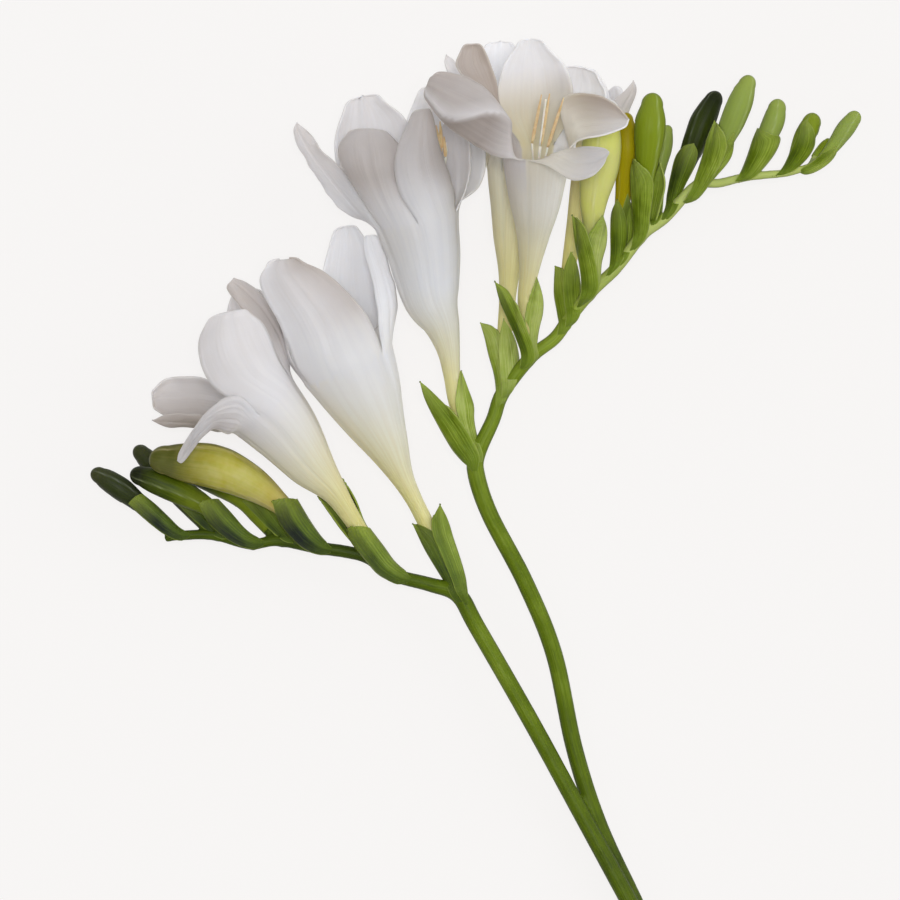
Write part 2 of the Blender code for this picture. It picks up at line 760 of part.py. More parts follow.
def bract(name, table, row, bars, material):
    """A leafy sheath that wraps the foot of a floret: a thin shell round the floret's axis."""
    _, angle, length, wrap, flare, notch, tip = row
    axis = Axis(table["axis"])
    across = [2 * column / BRACT_COLUMNS - 1 for column in range(BRACT_COLUMNS + 1)]
    feet = [clear_foot(axis, angle + v * wrap, bars) for v in across]
    points, faces = [], []
    for i in range(BRACT_ROWS + 1):
        t = i / BRACT_ROWS
        narrow = max((1 - t**2) ** tip, BRACT_TIP)
        for v, foot in zip(across, feet, strict=True):
            far = foot + t * (length - foot + notch * v**2)
            out = max(axis.radius(far), axis.radius(seat_of(table))) + GAP + BRACT_WALL + flare * t**2
            points.append(axis.around(far, angle + v * wrap * narrow, out))
    for i in range(BRACT_ROWS):
        for column in range(BRACT_COLUMNS):
            a = i * (BRACT_COLUMNS + 1) + column
            faces.append((a, a + 1, a + BRACT_COLUMNS + 2, a + BRACT_COLUMNS + 1))
    thing = new_object(name, mesh_from(points, faces), material)
    thicken(thing, BRACT_WALL)
    return thing


def stamens(name, table, reach, material):
    """Three stamens round the style, all standing on one foot in the tube's narrow part."""
    axis = Axis(table["axis"])
    low, mouth = axis.length * STAMEN_START, axis.length
    along = axis.frame(mouth)[0]
    foot_rows = (
        (*axis.at(low), axis.radius(low) - PETAL_WALL - GAP),
        (*axis.at(low + STAMEN_FOOT), 2 * FILAMENT_RADIUS),
    )
    foot = Axis(foot_rows)
    body = new_object(name, tube_mesh(foot, 0, foot.length, STUB_SIDES, 2), material)
    for k in range(4):
        spread = STAMEN_SPREAD * (k < 3)
        out = axis.around(mouth, 120 * k + 60, spread) - axis.at(mouth)
        thick = ANTHER_RADIUS if k < 3 else FILAMENT_RADIUS
        rows = (
            (*(axis.at(low + (0.3 + 0.1 * k) * STAMEN_FOOT) + 0.1 * out), FILAMENT_RADIUS),
            (*(axis.at((low + mouth) / 2) + 0.5 * out), FILAMENT_RADIUS),
            (*(axis.at(mouth) + out), thick),
            (*(axis.at(mouth) + out + (0.9 if k < 3 else 1.0) * reach * along), thick * 0.7),
        )
        line = Axis(rows)
        body = merged(body, new_object("strand", tube_mesh(line, 0, line.length, STAMEN_SIDES, 8)))
    return body


def make_materials():
    made = {}
    for name, (colour, roughness) in COLOURS.items():
        material = bpy.data.materials.new(name)
        material.use_nodes = True
        shader = material.node_tree.nodes["Principled BSDF"]
        shader.inputs["Base Color"].default_value = colour
        shader.inputs["Roughness"].default_value = roughness
        made[name] = material
    return made


def stand_on_origin(things):
    """Hangs every piece on one empty, and moves it so that the middle of the box's underside is the origin."""
    spray = bpy.data.objects.new("spray", None)
    bpy.context.scene.collection.objects.link(spray)
    corners = np.array([v.co for thing in things for v in thing.data.vertices])
    low, high = corners.min(0), corners.max(0)
    spray.location = Vector((-(low[0] + high[0]) / 2, -(low[1] + high[1]) / 2, -low[2]))
    for thing in things:
        thing.parent = spray


def main():
    for old in list(bpy.data.objects):
        bpy.data.objects.remove(old)
    material = make_materials()
    florets = {**FLOWERS, **BUDS}
    things = [stem(florets.values(), material["stem_green"])]
    bars = [Axis(rows) for rows in (MAIN_STEM, SIDE_BRANCH)]
    for name, table in FLOWERS.items():
        things.append(flower(name, table, material["petal_white"]))
        if name in STAMENS:
            things.append(stamens(f"{name}_stamens", table, STAMENS[name], material["stamen_gold"]))
    for name, table in BUDS.items():
        things.append(bud(name, table, material[table["colour"]]))
    for name, table in florets.items():
        for row in table["bracts"]:
            things.append(bract(f"{name}_{row[0]}", table, row, bars, material["bract_green"]))
    stand_on_origin(things)


main()
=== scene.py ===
"""Looks of the freesia: a cut, forked stem lying on its side, with six open flowers, buds and bracts.

Every row in the tables is in millimetres in the spray's own layout: X to the right, Y along the spray towards
its flowers, Z up from the surface that it lies on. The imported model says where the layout's origin is.

In the shape functions t runs from 0 at a part's foot to 1 at its tip, and u from -1 at its first edge to 1 at
its second. ease(t / share) lets a feature set in over that share of the length.
"""

import math

import bpy
import numpy as np
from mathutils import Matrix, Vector, noise


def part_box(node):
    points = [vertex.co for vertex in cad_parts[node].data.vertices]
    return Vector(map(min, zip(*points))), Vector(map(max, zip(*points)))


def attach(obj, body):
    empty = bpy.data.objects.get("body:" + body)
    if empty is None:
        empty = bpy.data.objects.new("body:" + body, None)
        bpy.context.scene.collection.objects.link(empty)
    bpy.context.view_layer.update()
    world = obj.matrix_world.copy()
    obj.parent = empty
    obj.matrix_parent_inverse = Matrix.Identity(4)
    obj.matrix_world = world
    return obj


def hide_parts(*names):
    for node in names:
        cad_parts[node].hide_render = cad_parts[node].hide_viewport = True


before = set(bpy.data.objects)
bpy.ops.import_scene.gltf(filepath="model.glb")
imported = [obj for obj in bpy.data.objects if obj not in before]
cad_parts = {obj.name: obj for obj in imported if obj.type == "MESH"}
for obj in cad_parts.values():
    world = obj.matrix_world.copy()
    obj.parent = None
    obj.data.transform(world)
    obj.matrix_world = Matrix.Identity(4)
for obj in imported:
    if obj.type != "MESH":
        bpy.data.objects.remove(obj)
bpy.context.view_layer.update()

MM = 0.001
UP = np.array((0.0, 0.0, 1.0))
WELD_REACH = 2e-6  # metres
THINNEST = 0.05  # least radius of a centreline
HEADING_STEP = 0.5  # how far ahead and behind a centreline's direction is read
EDGE_STEPS = 16  # points to each span of a drawn edge

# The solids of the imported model, as far as the looks repeat them.
SEAT = 3.6  # length of the stalk under a floret for which SEATS gives none
GAP = 0.35
SOLID_BUD_SIDES = 10
SOLID_BUD_RINGS = 8
SHIFT_TOLERANCE = 0.05

# Walls.
PETAL_WALL = 0.32
BRACT_WALL = 0.3

# Mesh density.
PETAL_COLUMNS = 22
PETAL_ROWS = 44
TUBE_ROWS = 44
BUD_COLUMNS = 54
BUD_ROWS = 60
BRACT_COLUMNS = 26
BRACT_ROWS = 44
STEM_COLUMNS = 24
STEM_RING_SPACING = 1.0
STEM_VOXEL = 0.3
STALK_POINTS, STALK_SIDES, STALK_RINGS = 10, 20, 18
STRAND_SIDES = 8
ANTHER_SIDES = 14
ANTHER_ROWS = 16

# Tubes.
TEPALS = 6
TUBE_SINK = 0.4  # how far a tube's foot sinks into its stalk
TUBE_TWIST = 8.0  # degrees that a tube turns along its length
TUBE_WAVE, TUBE_WAVE_SIZE = 0.3, 9.0
GROOVE_DEPTH, GROOVE_WIDTH = 0.035, 0.09  # shares of the radius and of a tepal's arc
MOUTH_FROM, MOUTH_LENGTH = 0.62, 0.38  # shares of the tube: where the tepals' tones begin, and for how long
MOUTH_BLEND = 0.3  # how much of the tepals' tones the tube has at its mouth
TEPAL_LENGTH = 26  # usual free length of a tepal, for the spread of the UV map

# Tepals.
RUFFLE, RUFFLE_SIZE, RUFFLE_GAIN, RUFFLE_SEED = 0.35, 3.0, 1.6, 7
WAVE, WAVE_SIZE = 0.8, 8.0
RIM_FROM, RIM_WIDTH = 0.55, 0.45  # shares of the half-width: where the rim begins to curl, and its width
MIDRIB_DEPTH, MIDRIB_WIDTH = 0.22, 0.10
CREASE_AT, CREASE_WIDTH, CREASE_FROM = 0.15, 0.07, 0.35
RIDGE_FROM, RIDGE_LENGTH = 0.35, 0.45  # shares of the length over which a ridge moves from its foot's place
RIB_RATE = 24
RELIEF_WIDTH = 2.5  # half-width at which a tepal's relief is whole
MOUTH_REACH = 0.24  # share of a tepal's length over which it leaves its arc of the mouth
TIP_SPREAD, TIP_SHORTENING = 0.5, 0.16  # where a rounded tip's extra points lie beside it
TIP_WIDTH = 1.8  # a rounded tip ends where it is this narrow
TIP_STEP = 0.002
TIP_FROM = 0.8  # share of the length beyond which a rounded tip faces one way
TIP_CROWDING = 1.4  # above 1, a tepal's rows crowd towards its tip

# Tepals that stand behind others.
TEPAL_STEP = 360 / TEPALS
OVERLAP_STEP = 0.5  # how far an outer tepal stands out, and an inner one in
WIDEST = 0.45  # share of a tepal's free length at which it is widest
MIDRIB_LEAD = 3  # length of tube that a midrib's curve takes its direction from
MIDRIB_STEPS = 24
HIDDEN_CURL, INNER_CURL = 0.6, 0.4  # an inner tepal has only this share of the curl
HIDDEN_RIM_FROM, HIDDEN_RIM_WIDTH = 0.6, 0.4
HIDDEN_RUFFLE_SIZE = 3.2
HIDDEN_WAVE, HIDDEN_WAVE_SIZE = 0.55, 9.0
HIDDEN_MIDRIB_DEPTH, HIDDEN_MIDRIB_WIDTH = 0.25, 0.09
HIDDEN_MOUTH_REACH = 0.3

# Stamens: the first ones of a flower's lines are filaments with an anther, and the last is the style.
ANTHERS = 3
FILAMENT_RADIUS = 0.2
FILAMENT_PLACES = (0.4, 0.75)  # shares of the tube's length that a filament runs through
STIGMA_RADIUS = 0.22
FACE_GROOVE, FACE_GROOVE_ANGLE = 0.42, 26
BACK_GROOVE, BACK_GROOVE_ANGLE = 0.25, 22

# Buds: depths are shares of the radius, and widths shares of a folded tepal's arc.
BUD_SINK = 0.6
CAP_LEAST, CAP_SHAPE, CAP_STEP = 0.5, 1.2, 0.05  # how long the round end is
FOLD_STEP = 120  # degrees of each folded tepal
FOLD_TWIST, FOLD_TURN = 40, 37  # degrees that the folds turn along a bud, and from one bud to the next
LIP, LIP_WIDTH = 0.055, 0.10
DIP, DIP_WIDTH = 0.035, 0.05
BUD_KEEL = 0.018
BUD_WAVE, BUD_WAVE_SIZE = 0.05, 2.5
SEAM_AFTER, SEAM_BEFORE = 0.03, 0.015

# Bracts.
FOOT_WIDTH = 0.15  # share of its width that a bract has at its foot
FOOT_PULL = 0.75  # how much of the way to the stem's centreline its foot is drawn
FOOT_SINK = 0.35
LEAF_LIFT = 0.6
KEEL_HEIGHT, KEEL_WIDTH = 0.16, 0.12
KEEL_STEP = (-5.5, 6.5)  # how sharply the tone changes at the keel: a step is from 0 to 1
LEAF_WAVE, LEAF_WAVE_SIZE = 0.14, 2.6
BAR_CLASP = 0.3  # share of a bract's length along which it clasps the stem
BRACT_CLEAR = 0.4  # least height of a bract over the floor

# Stem.
SHEATH_LEAD = 3.4  # length of stem below a node along which a floret's stalk leaves it
STALK_SHARE = 0.97  # a stalk's radius as a share of its line's
CUT_SPARE = 2  # length that is cut off the stem's foot to leave a flat end
CUT_DEPTH, CUT_FACING = 0.02, 0.9
TRACE_BLOCK = 4000  # points that are traced at a time
TRACE_RATE = 0.02  # the pattern's run for each millimetre of stem
BAR_OFFSET = 10  # sets the side branch's pattern apart from the stem's

# The stem's tone from X, and the side branch's from X + Y: places, then tones. These tones are painted shade
# and light: deeper where the stem lies in shade, paler where light falls on it.
MAIN_SHADE_TONES = ((-40, -20, -4, 9, 20, 30), (0.29, 0.24, 0.36, 0.56, 0.45, 0.36))
BRANCH_SHADE_TONES = ((-50, -25, 10, 30, 65, 90), (0.32, 0.49, 0.56, 0.6, 0.95, 1.05))

# Light: where each lamp stands as seen from the spray, its strength, and how wide its source looks in degrees.
SUNS = (
    ("overhead", (0.02, 0.03, 1.0), 1.55, 14.0),
    ("right", (0.85, 0.25, 0.5), 0.85, 50.0),
    ("head", (-0.1, 0.85, 0.6), 0.4, 70.0),
)
SUN_COLOUR = (0.98, 0.985, 1.0)
ROOM_LIGHT = 0.36
ROOM_COLOUR = (1.0, 0.985, 0.97)

FLOOR_SIZE = 4.0
FLOOR_DROP = 0.0002
FLOOR_COLOUR = (0.93, 0.915, 0.905)
FLOOR_GLOW = 0.9  # share of the floor's plain colour that the camera sees

# Camera, in millimetres.
VIEW_FIELD = 180.0  # width of the view at the height of the flowers
VIEW_HEIGHT = 15.5
LENS = 480.0
SENSOR = 36.0

# ---------------------------------------------------------------- where everything grows

# The stem's centreline as (x, y, z, radius): the cut end, the fork's leg, then the left spike's axis.
MAIN_STEM = (
    (59.5, -134.0, 1.95, 1.95), (47.6, -112.0, 2.2, 1.9), (35.6, -90.0, 4.4, 1.8), (25.8, -72.0, 5.4, 1.75),
    (16.0, -54.0, 6.3, 1.75), (5.4, -35.5, 7.6, 1.75), (1.6, -29.0, 8.1, 1.75), (-4.0, -27.0, 8.6, 1.5),
    (-11.3, -25.0, 9.0, 1.4), (-16.5, -21.6, 7.8, 1.3), (-21.0, -20.4, 7.6, 1.3), (-26.6, -19.6, 7.8, 1.3),
    (-34.5, -18.2, 7.4, 1.15), (-40.3, -18.9, 7.6, 1.1), (-47.5, -17.1, 7.0, 1.05), (-54.6, -17.2, 7.0, 1.0),
    (-57.2, -17.9, 6.8, 0.7),
)
# The side branch leaves the stem at the fork and carries the right spike.
SIDE_BRANCH = (
    (46.4, -110.0, 2.4, 1.3), (42.4, -102.0, 1.95, 1.7), (37.0, -90.6, 1.8, 1.75), (30.0, -75.5, 2.3, 1.75),
    (25.0, -60.0, 3.4, 1.75), (20.9, -41.0, 5.2, 1.75), (15.1, -26.6, 6.9, 1.75), (8.0, -13.0, 8.4, 1.75),
    (5.2, -4.6, 9.1, 1.8), (5.6, -0.6, 9.3, 1.65), (8.6, 6.0, 9.4, 1.5), (10.6, 11.5, 9.4, 1.5),
    (16.2, 18.6, 10.0, 1.4), (21.0, 22.4, 9.8, 1.35), (24.0, 26.6, 9.8, 1.35), (28.4, 31.8, 10.4, 1.3),
    (33.4, 36.6, 10.0, 1.25), (38.6, 43.2, 10.2, 1.25), (43.2, 46.6, 9.8, 1.15), (49.3, 53.0, 9.6, 1.1),
    (54.0, 53.5, 9.2, 0.95), (59.6, 54.8, 8.8, 0.9), (67.6, 55.6, 8.4, 0.8), (72.2, 56.9, 8.2, 0.65),
)

# The flowers' tubes in the same form, from the stem to the tube's mouth.
FLOWERS = {
    "flower_1": (
        (-11.3, -25.0, 9.0, 1.3), (-15.2, -20.2, 9.8, 1.5), (-18.7, -15.2, 10.6, 1.7),
        (-23.0, -8.6, 11.8, 2.6), (-28.0, -2.8, 13.2, 4.9), (-33.0, 4.0, 14.6, 6.8), (-37.3, 8.7, 15.6, 8.0),
    ),
    "flower_2": (
        (1.6, -29.0, 8.0, 1.3), (-1.4, -21.5, 8.6, 1.5), (-4.9, -14.5, 9.2, 1.6), (-7.2, -10.0, 9.8, 1.7),
        (-9.8, -5.0, 10.6, 2.5), (-12.8, 1.5, 11.8, 4.6), (-16.8, 9.8, 13.2, 7.7), (-20.3, 17.0, 14.4, 9.6),
    ),
    "flower_3": (
        (5.2, -3.0, 9.0, 1.3), (3.2, 3.0, 9.4, 1.5), (1.2, 10.0, 10.0, 1.6), (0.4, 15.0, 10.6, 1.7),
        (-0.3, 20.0, 11.4, 2.3), (-1.6, 25.0, 12.4, 3.6), (-3.8, 30.5, 13.4, 5.7), (-5.2, 39.5, 14.8, 7.3),
        (-6.6, 46.0, 15.8, 8.6),
    ),
    "flower_4": (
        (16.2, 18.6, 10.0, 1.2), (15.3, 24.0, 13.0, 1.4), (15.0, 30.0, 15.8, 1.5), (15.8, 36.0, 18.2, 2.0),
        (16.6, 43.0, 20.8, 3.4), (17.0, 50.0, 24.2, 5.2), (17.3, 59.2, 27.0, 6.9),
    ),
    "flower_5": (
        (10.6, 11.5, 9.0, 1.2), (10.6, 17.0, 8.4, 1.4), (11.0, 24.0, 8.4, 1.5), (11.5, 30.0, 8.8, 1.7),
        (11.9, 36.0, 9.2, 2.3), (12.3, 43.0, 9.8, 3.7), (12.9, 50.0, 10.2, 4.9), (13.0, 56.0, 10.6, 5.5),
    ),
    "flower_6": (
        (24.0, 26.6, 9.4, 1.2), (23.4, 32.0, 8.4, 1.3), (24.0, 38.0, 8.0, 1.5), (25.4, 44.0, 7.8, 2.2),
        (27.0, 50.0, 7.6, 3.2), (28.6, 56.0, 7.4, 4.2), (29.6, 60.0, 7.4, 4.6),
    ),
}

# The buds in the same form, from the stem to the bud's closed tip.
BUDS = {
    "bud_01": (
        (-26.6, -19.6, 8.0, 1.3), (-30.0, -15.0, 9.0, 1.6), (-34.3, -10.6, 10.6, 2.2),
        (-40.0, -6.5, 12.4, 3.6), (-47.0, -3.4, 13.4, 4.4), (-54.0, -2.4, 13.4, 3.7),
        (-58.6, -1.8, 13.0, 2.1), (-60.2, -1.5, 12.8, 0.6),
    ),
    "bud_02": (
        (-34.5, -18.2, 7.0, 1.1), (-38.2, -14.0, 5.4, 1.4), (-42.0, -10.0, 4.2, 1.7), (-47.0, -6.5, 3.4, 2.5),
        (-52.0, -4.0, 3.0, 2.4), (-56.5, -2.2, 2.8, 0.6),
    ),
    "bud_03": (
        (-40.3, -18.9, 7.6, 1.1), (-44.6, -15.0, 8.2, 1.5), (-49.0, -11.2, 9.2, 1.9),
        (-54.0, -8.4, 10.0, 2.6), (-59.5, -6.0, 10.4, 2.5), (-63.0, -4.9, 10.4, 1.5),
        (-64.1, -4.6, 10.3, 0.5),
    ),
    "bud_04": (
        (-47.5, -17.1, 6.6, 1.0), (-51.0, -13.4, 5.2, 1.3), (-54.4, -9.6, 4.2, 1.7), (-58.0, -5.0, 3.6, 2.1),
        (-61.4, -1.3, 3.4, 1.9), (-63.4, 0.6, 3.4, 0.6),
    ),
    "bud_05": (
        (-54.6, -17.2, 7.0, 0.9), (-58.6, -14.2, 7.6, 1.5), (-62.4, -10.6, 8.0, 1.8), (-66.0, -7.8, 8.2, 2.3),
        (-69.6, -5.5, 8.2, 1.9), (-72.0, -4.3, 8.2, 0.5),
    ),
    "bud_06": (
        (28.4, 31.8, 10.4, 1.2), (28.2, 38.0, 13.6, 1.4), (28.4, 44.0, 16.4, 1.8), (28.7, 50.0, 18.2, 2.8),
        (29.8, 56.0, 19.2, 3.8), (30.4, 61.5, 19.8, 3.9), (30.8, 66.5, 20.2, 2.6), (31.0, 69.5, 20.4, 0.7),
    ),
    "bud_07": (
        (33.4, 36.6, 9.8, 1.1), (33.7, 42.0, 8.8, 1.3), (34.4, 48.5, 9.4, 1.4), (35.1, 54.0, 10.6, 1.9),
        (35.5, 60.0, 11.6, 2.4), (35.4, 64.6, 12.0, 1.9), (35.3, 67.6, 12.2, 0.5),
    ),
    "bud_08": (
        (38.6, 43.2, 10.2, 1.2), (38.7, 48.5, 12.6, 1.5), (39.0, 54.5, 15.0, 1.9), (39.6, 60.0, 16.6, 2.7),
        (40.0, 65.0, 17.2, 3.1), (40.4, 69.0, 17.4, 2.1), (40.6, 71.4, 17.4, 0.6),
    ),
    "bud_09": (
        (41.2, 45.2, 9.6, 0.8), (41.2, 49.0, 5.8, 1.1), (41.6, 55.0, 4.6, 1.4), (43.0, 60.5, 4.6, 1.6),
        (43.6, 63.6, 4.6, 1.2), (43.8, 65.3, 4.6, 0.4),
    ),
    "bud_10": (
        (43.9, 47.4, 9.4, 0.9), (45.4, 52.4, 8.0, 1.3), (47.4, 57.5, 7.4, 1.9), (49.2, 62.0, 7.2, 2.4),
        (51.0, 66.5, 7.2, 2.5), (53.0, 70.3, 7.4, 1.7), (53.9, 71.9, 7.4, 0.5),
    ),
    "bud_11": (
        (49.3, 53.0, 9.6, 1.0), (52.3, 57.0, 11.4, 1.5), (54.6, 61.5, 13.0, 1.9), (56.6, 66.0, 14.2, 2.5),
        (58.4, 70.5, 14.8, 2.4), (59.6, 73.6, 14.8, 1.5), (60.0, 75.0, 14.8, 0.5),
    ),
    "bud_12": (
        (59.6, 54.8, 8.8, 0.8), (61.8, 58.5, 9.0, 1.5), (63.4, 62.5, 9.2, 2.0), (64.9, 66.0, 9.4, 2.2),
        (65.6, 68.6, 9.4, 1.7), (65.9, 70.4, 9.4, 0.6),
    ),
    "bud_13": (
        (67.6, 55.6, 8.4, 0.7), (69.4, 59.0, 8.8, 1.5), (70.9, 62.4, 9.0, 2.0), (72.4, 65.4, 9.0, 1.9),
        (73.0, 67.6, 9.0, 0.7),
    ),
    "bud_14": (
        (71.8, 56.8, 8.2, 0.5), (73.8, 59.6, 5.8, 0.8), (75.4, 61.5, 5.2, 0.8), (76.3, 62.5, 5.0, 0.3),
    ),
    "bud_15": (
        (72.2, 56.9, 8.2, 0.7), (75.0, 58.8, 8.4, 1.05), (77.2, 61.4, 8.6, 1.45), (79.3, 64.4, 8.6, 1.8),
        (81.0, 66.6, 8.6, 1.45), (81.9, 67.8, 8.6, 0.5),
    ),
}

FLORETS = {**FLOWERS, **BUDS}
SEATS = {"flower_1": 7.0, "flower_3": 5.5, "bud_03": 4.6}
LEFT_SPIKE = ("flower_1", "flower_2", "bud_01", "bud_02", "bud_03", "bud_04", "bud_05")
YELLOW_BUDS = ("bud_01", "bud_06", "bud_07")
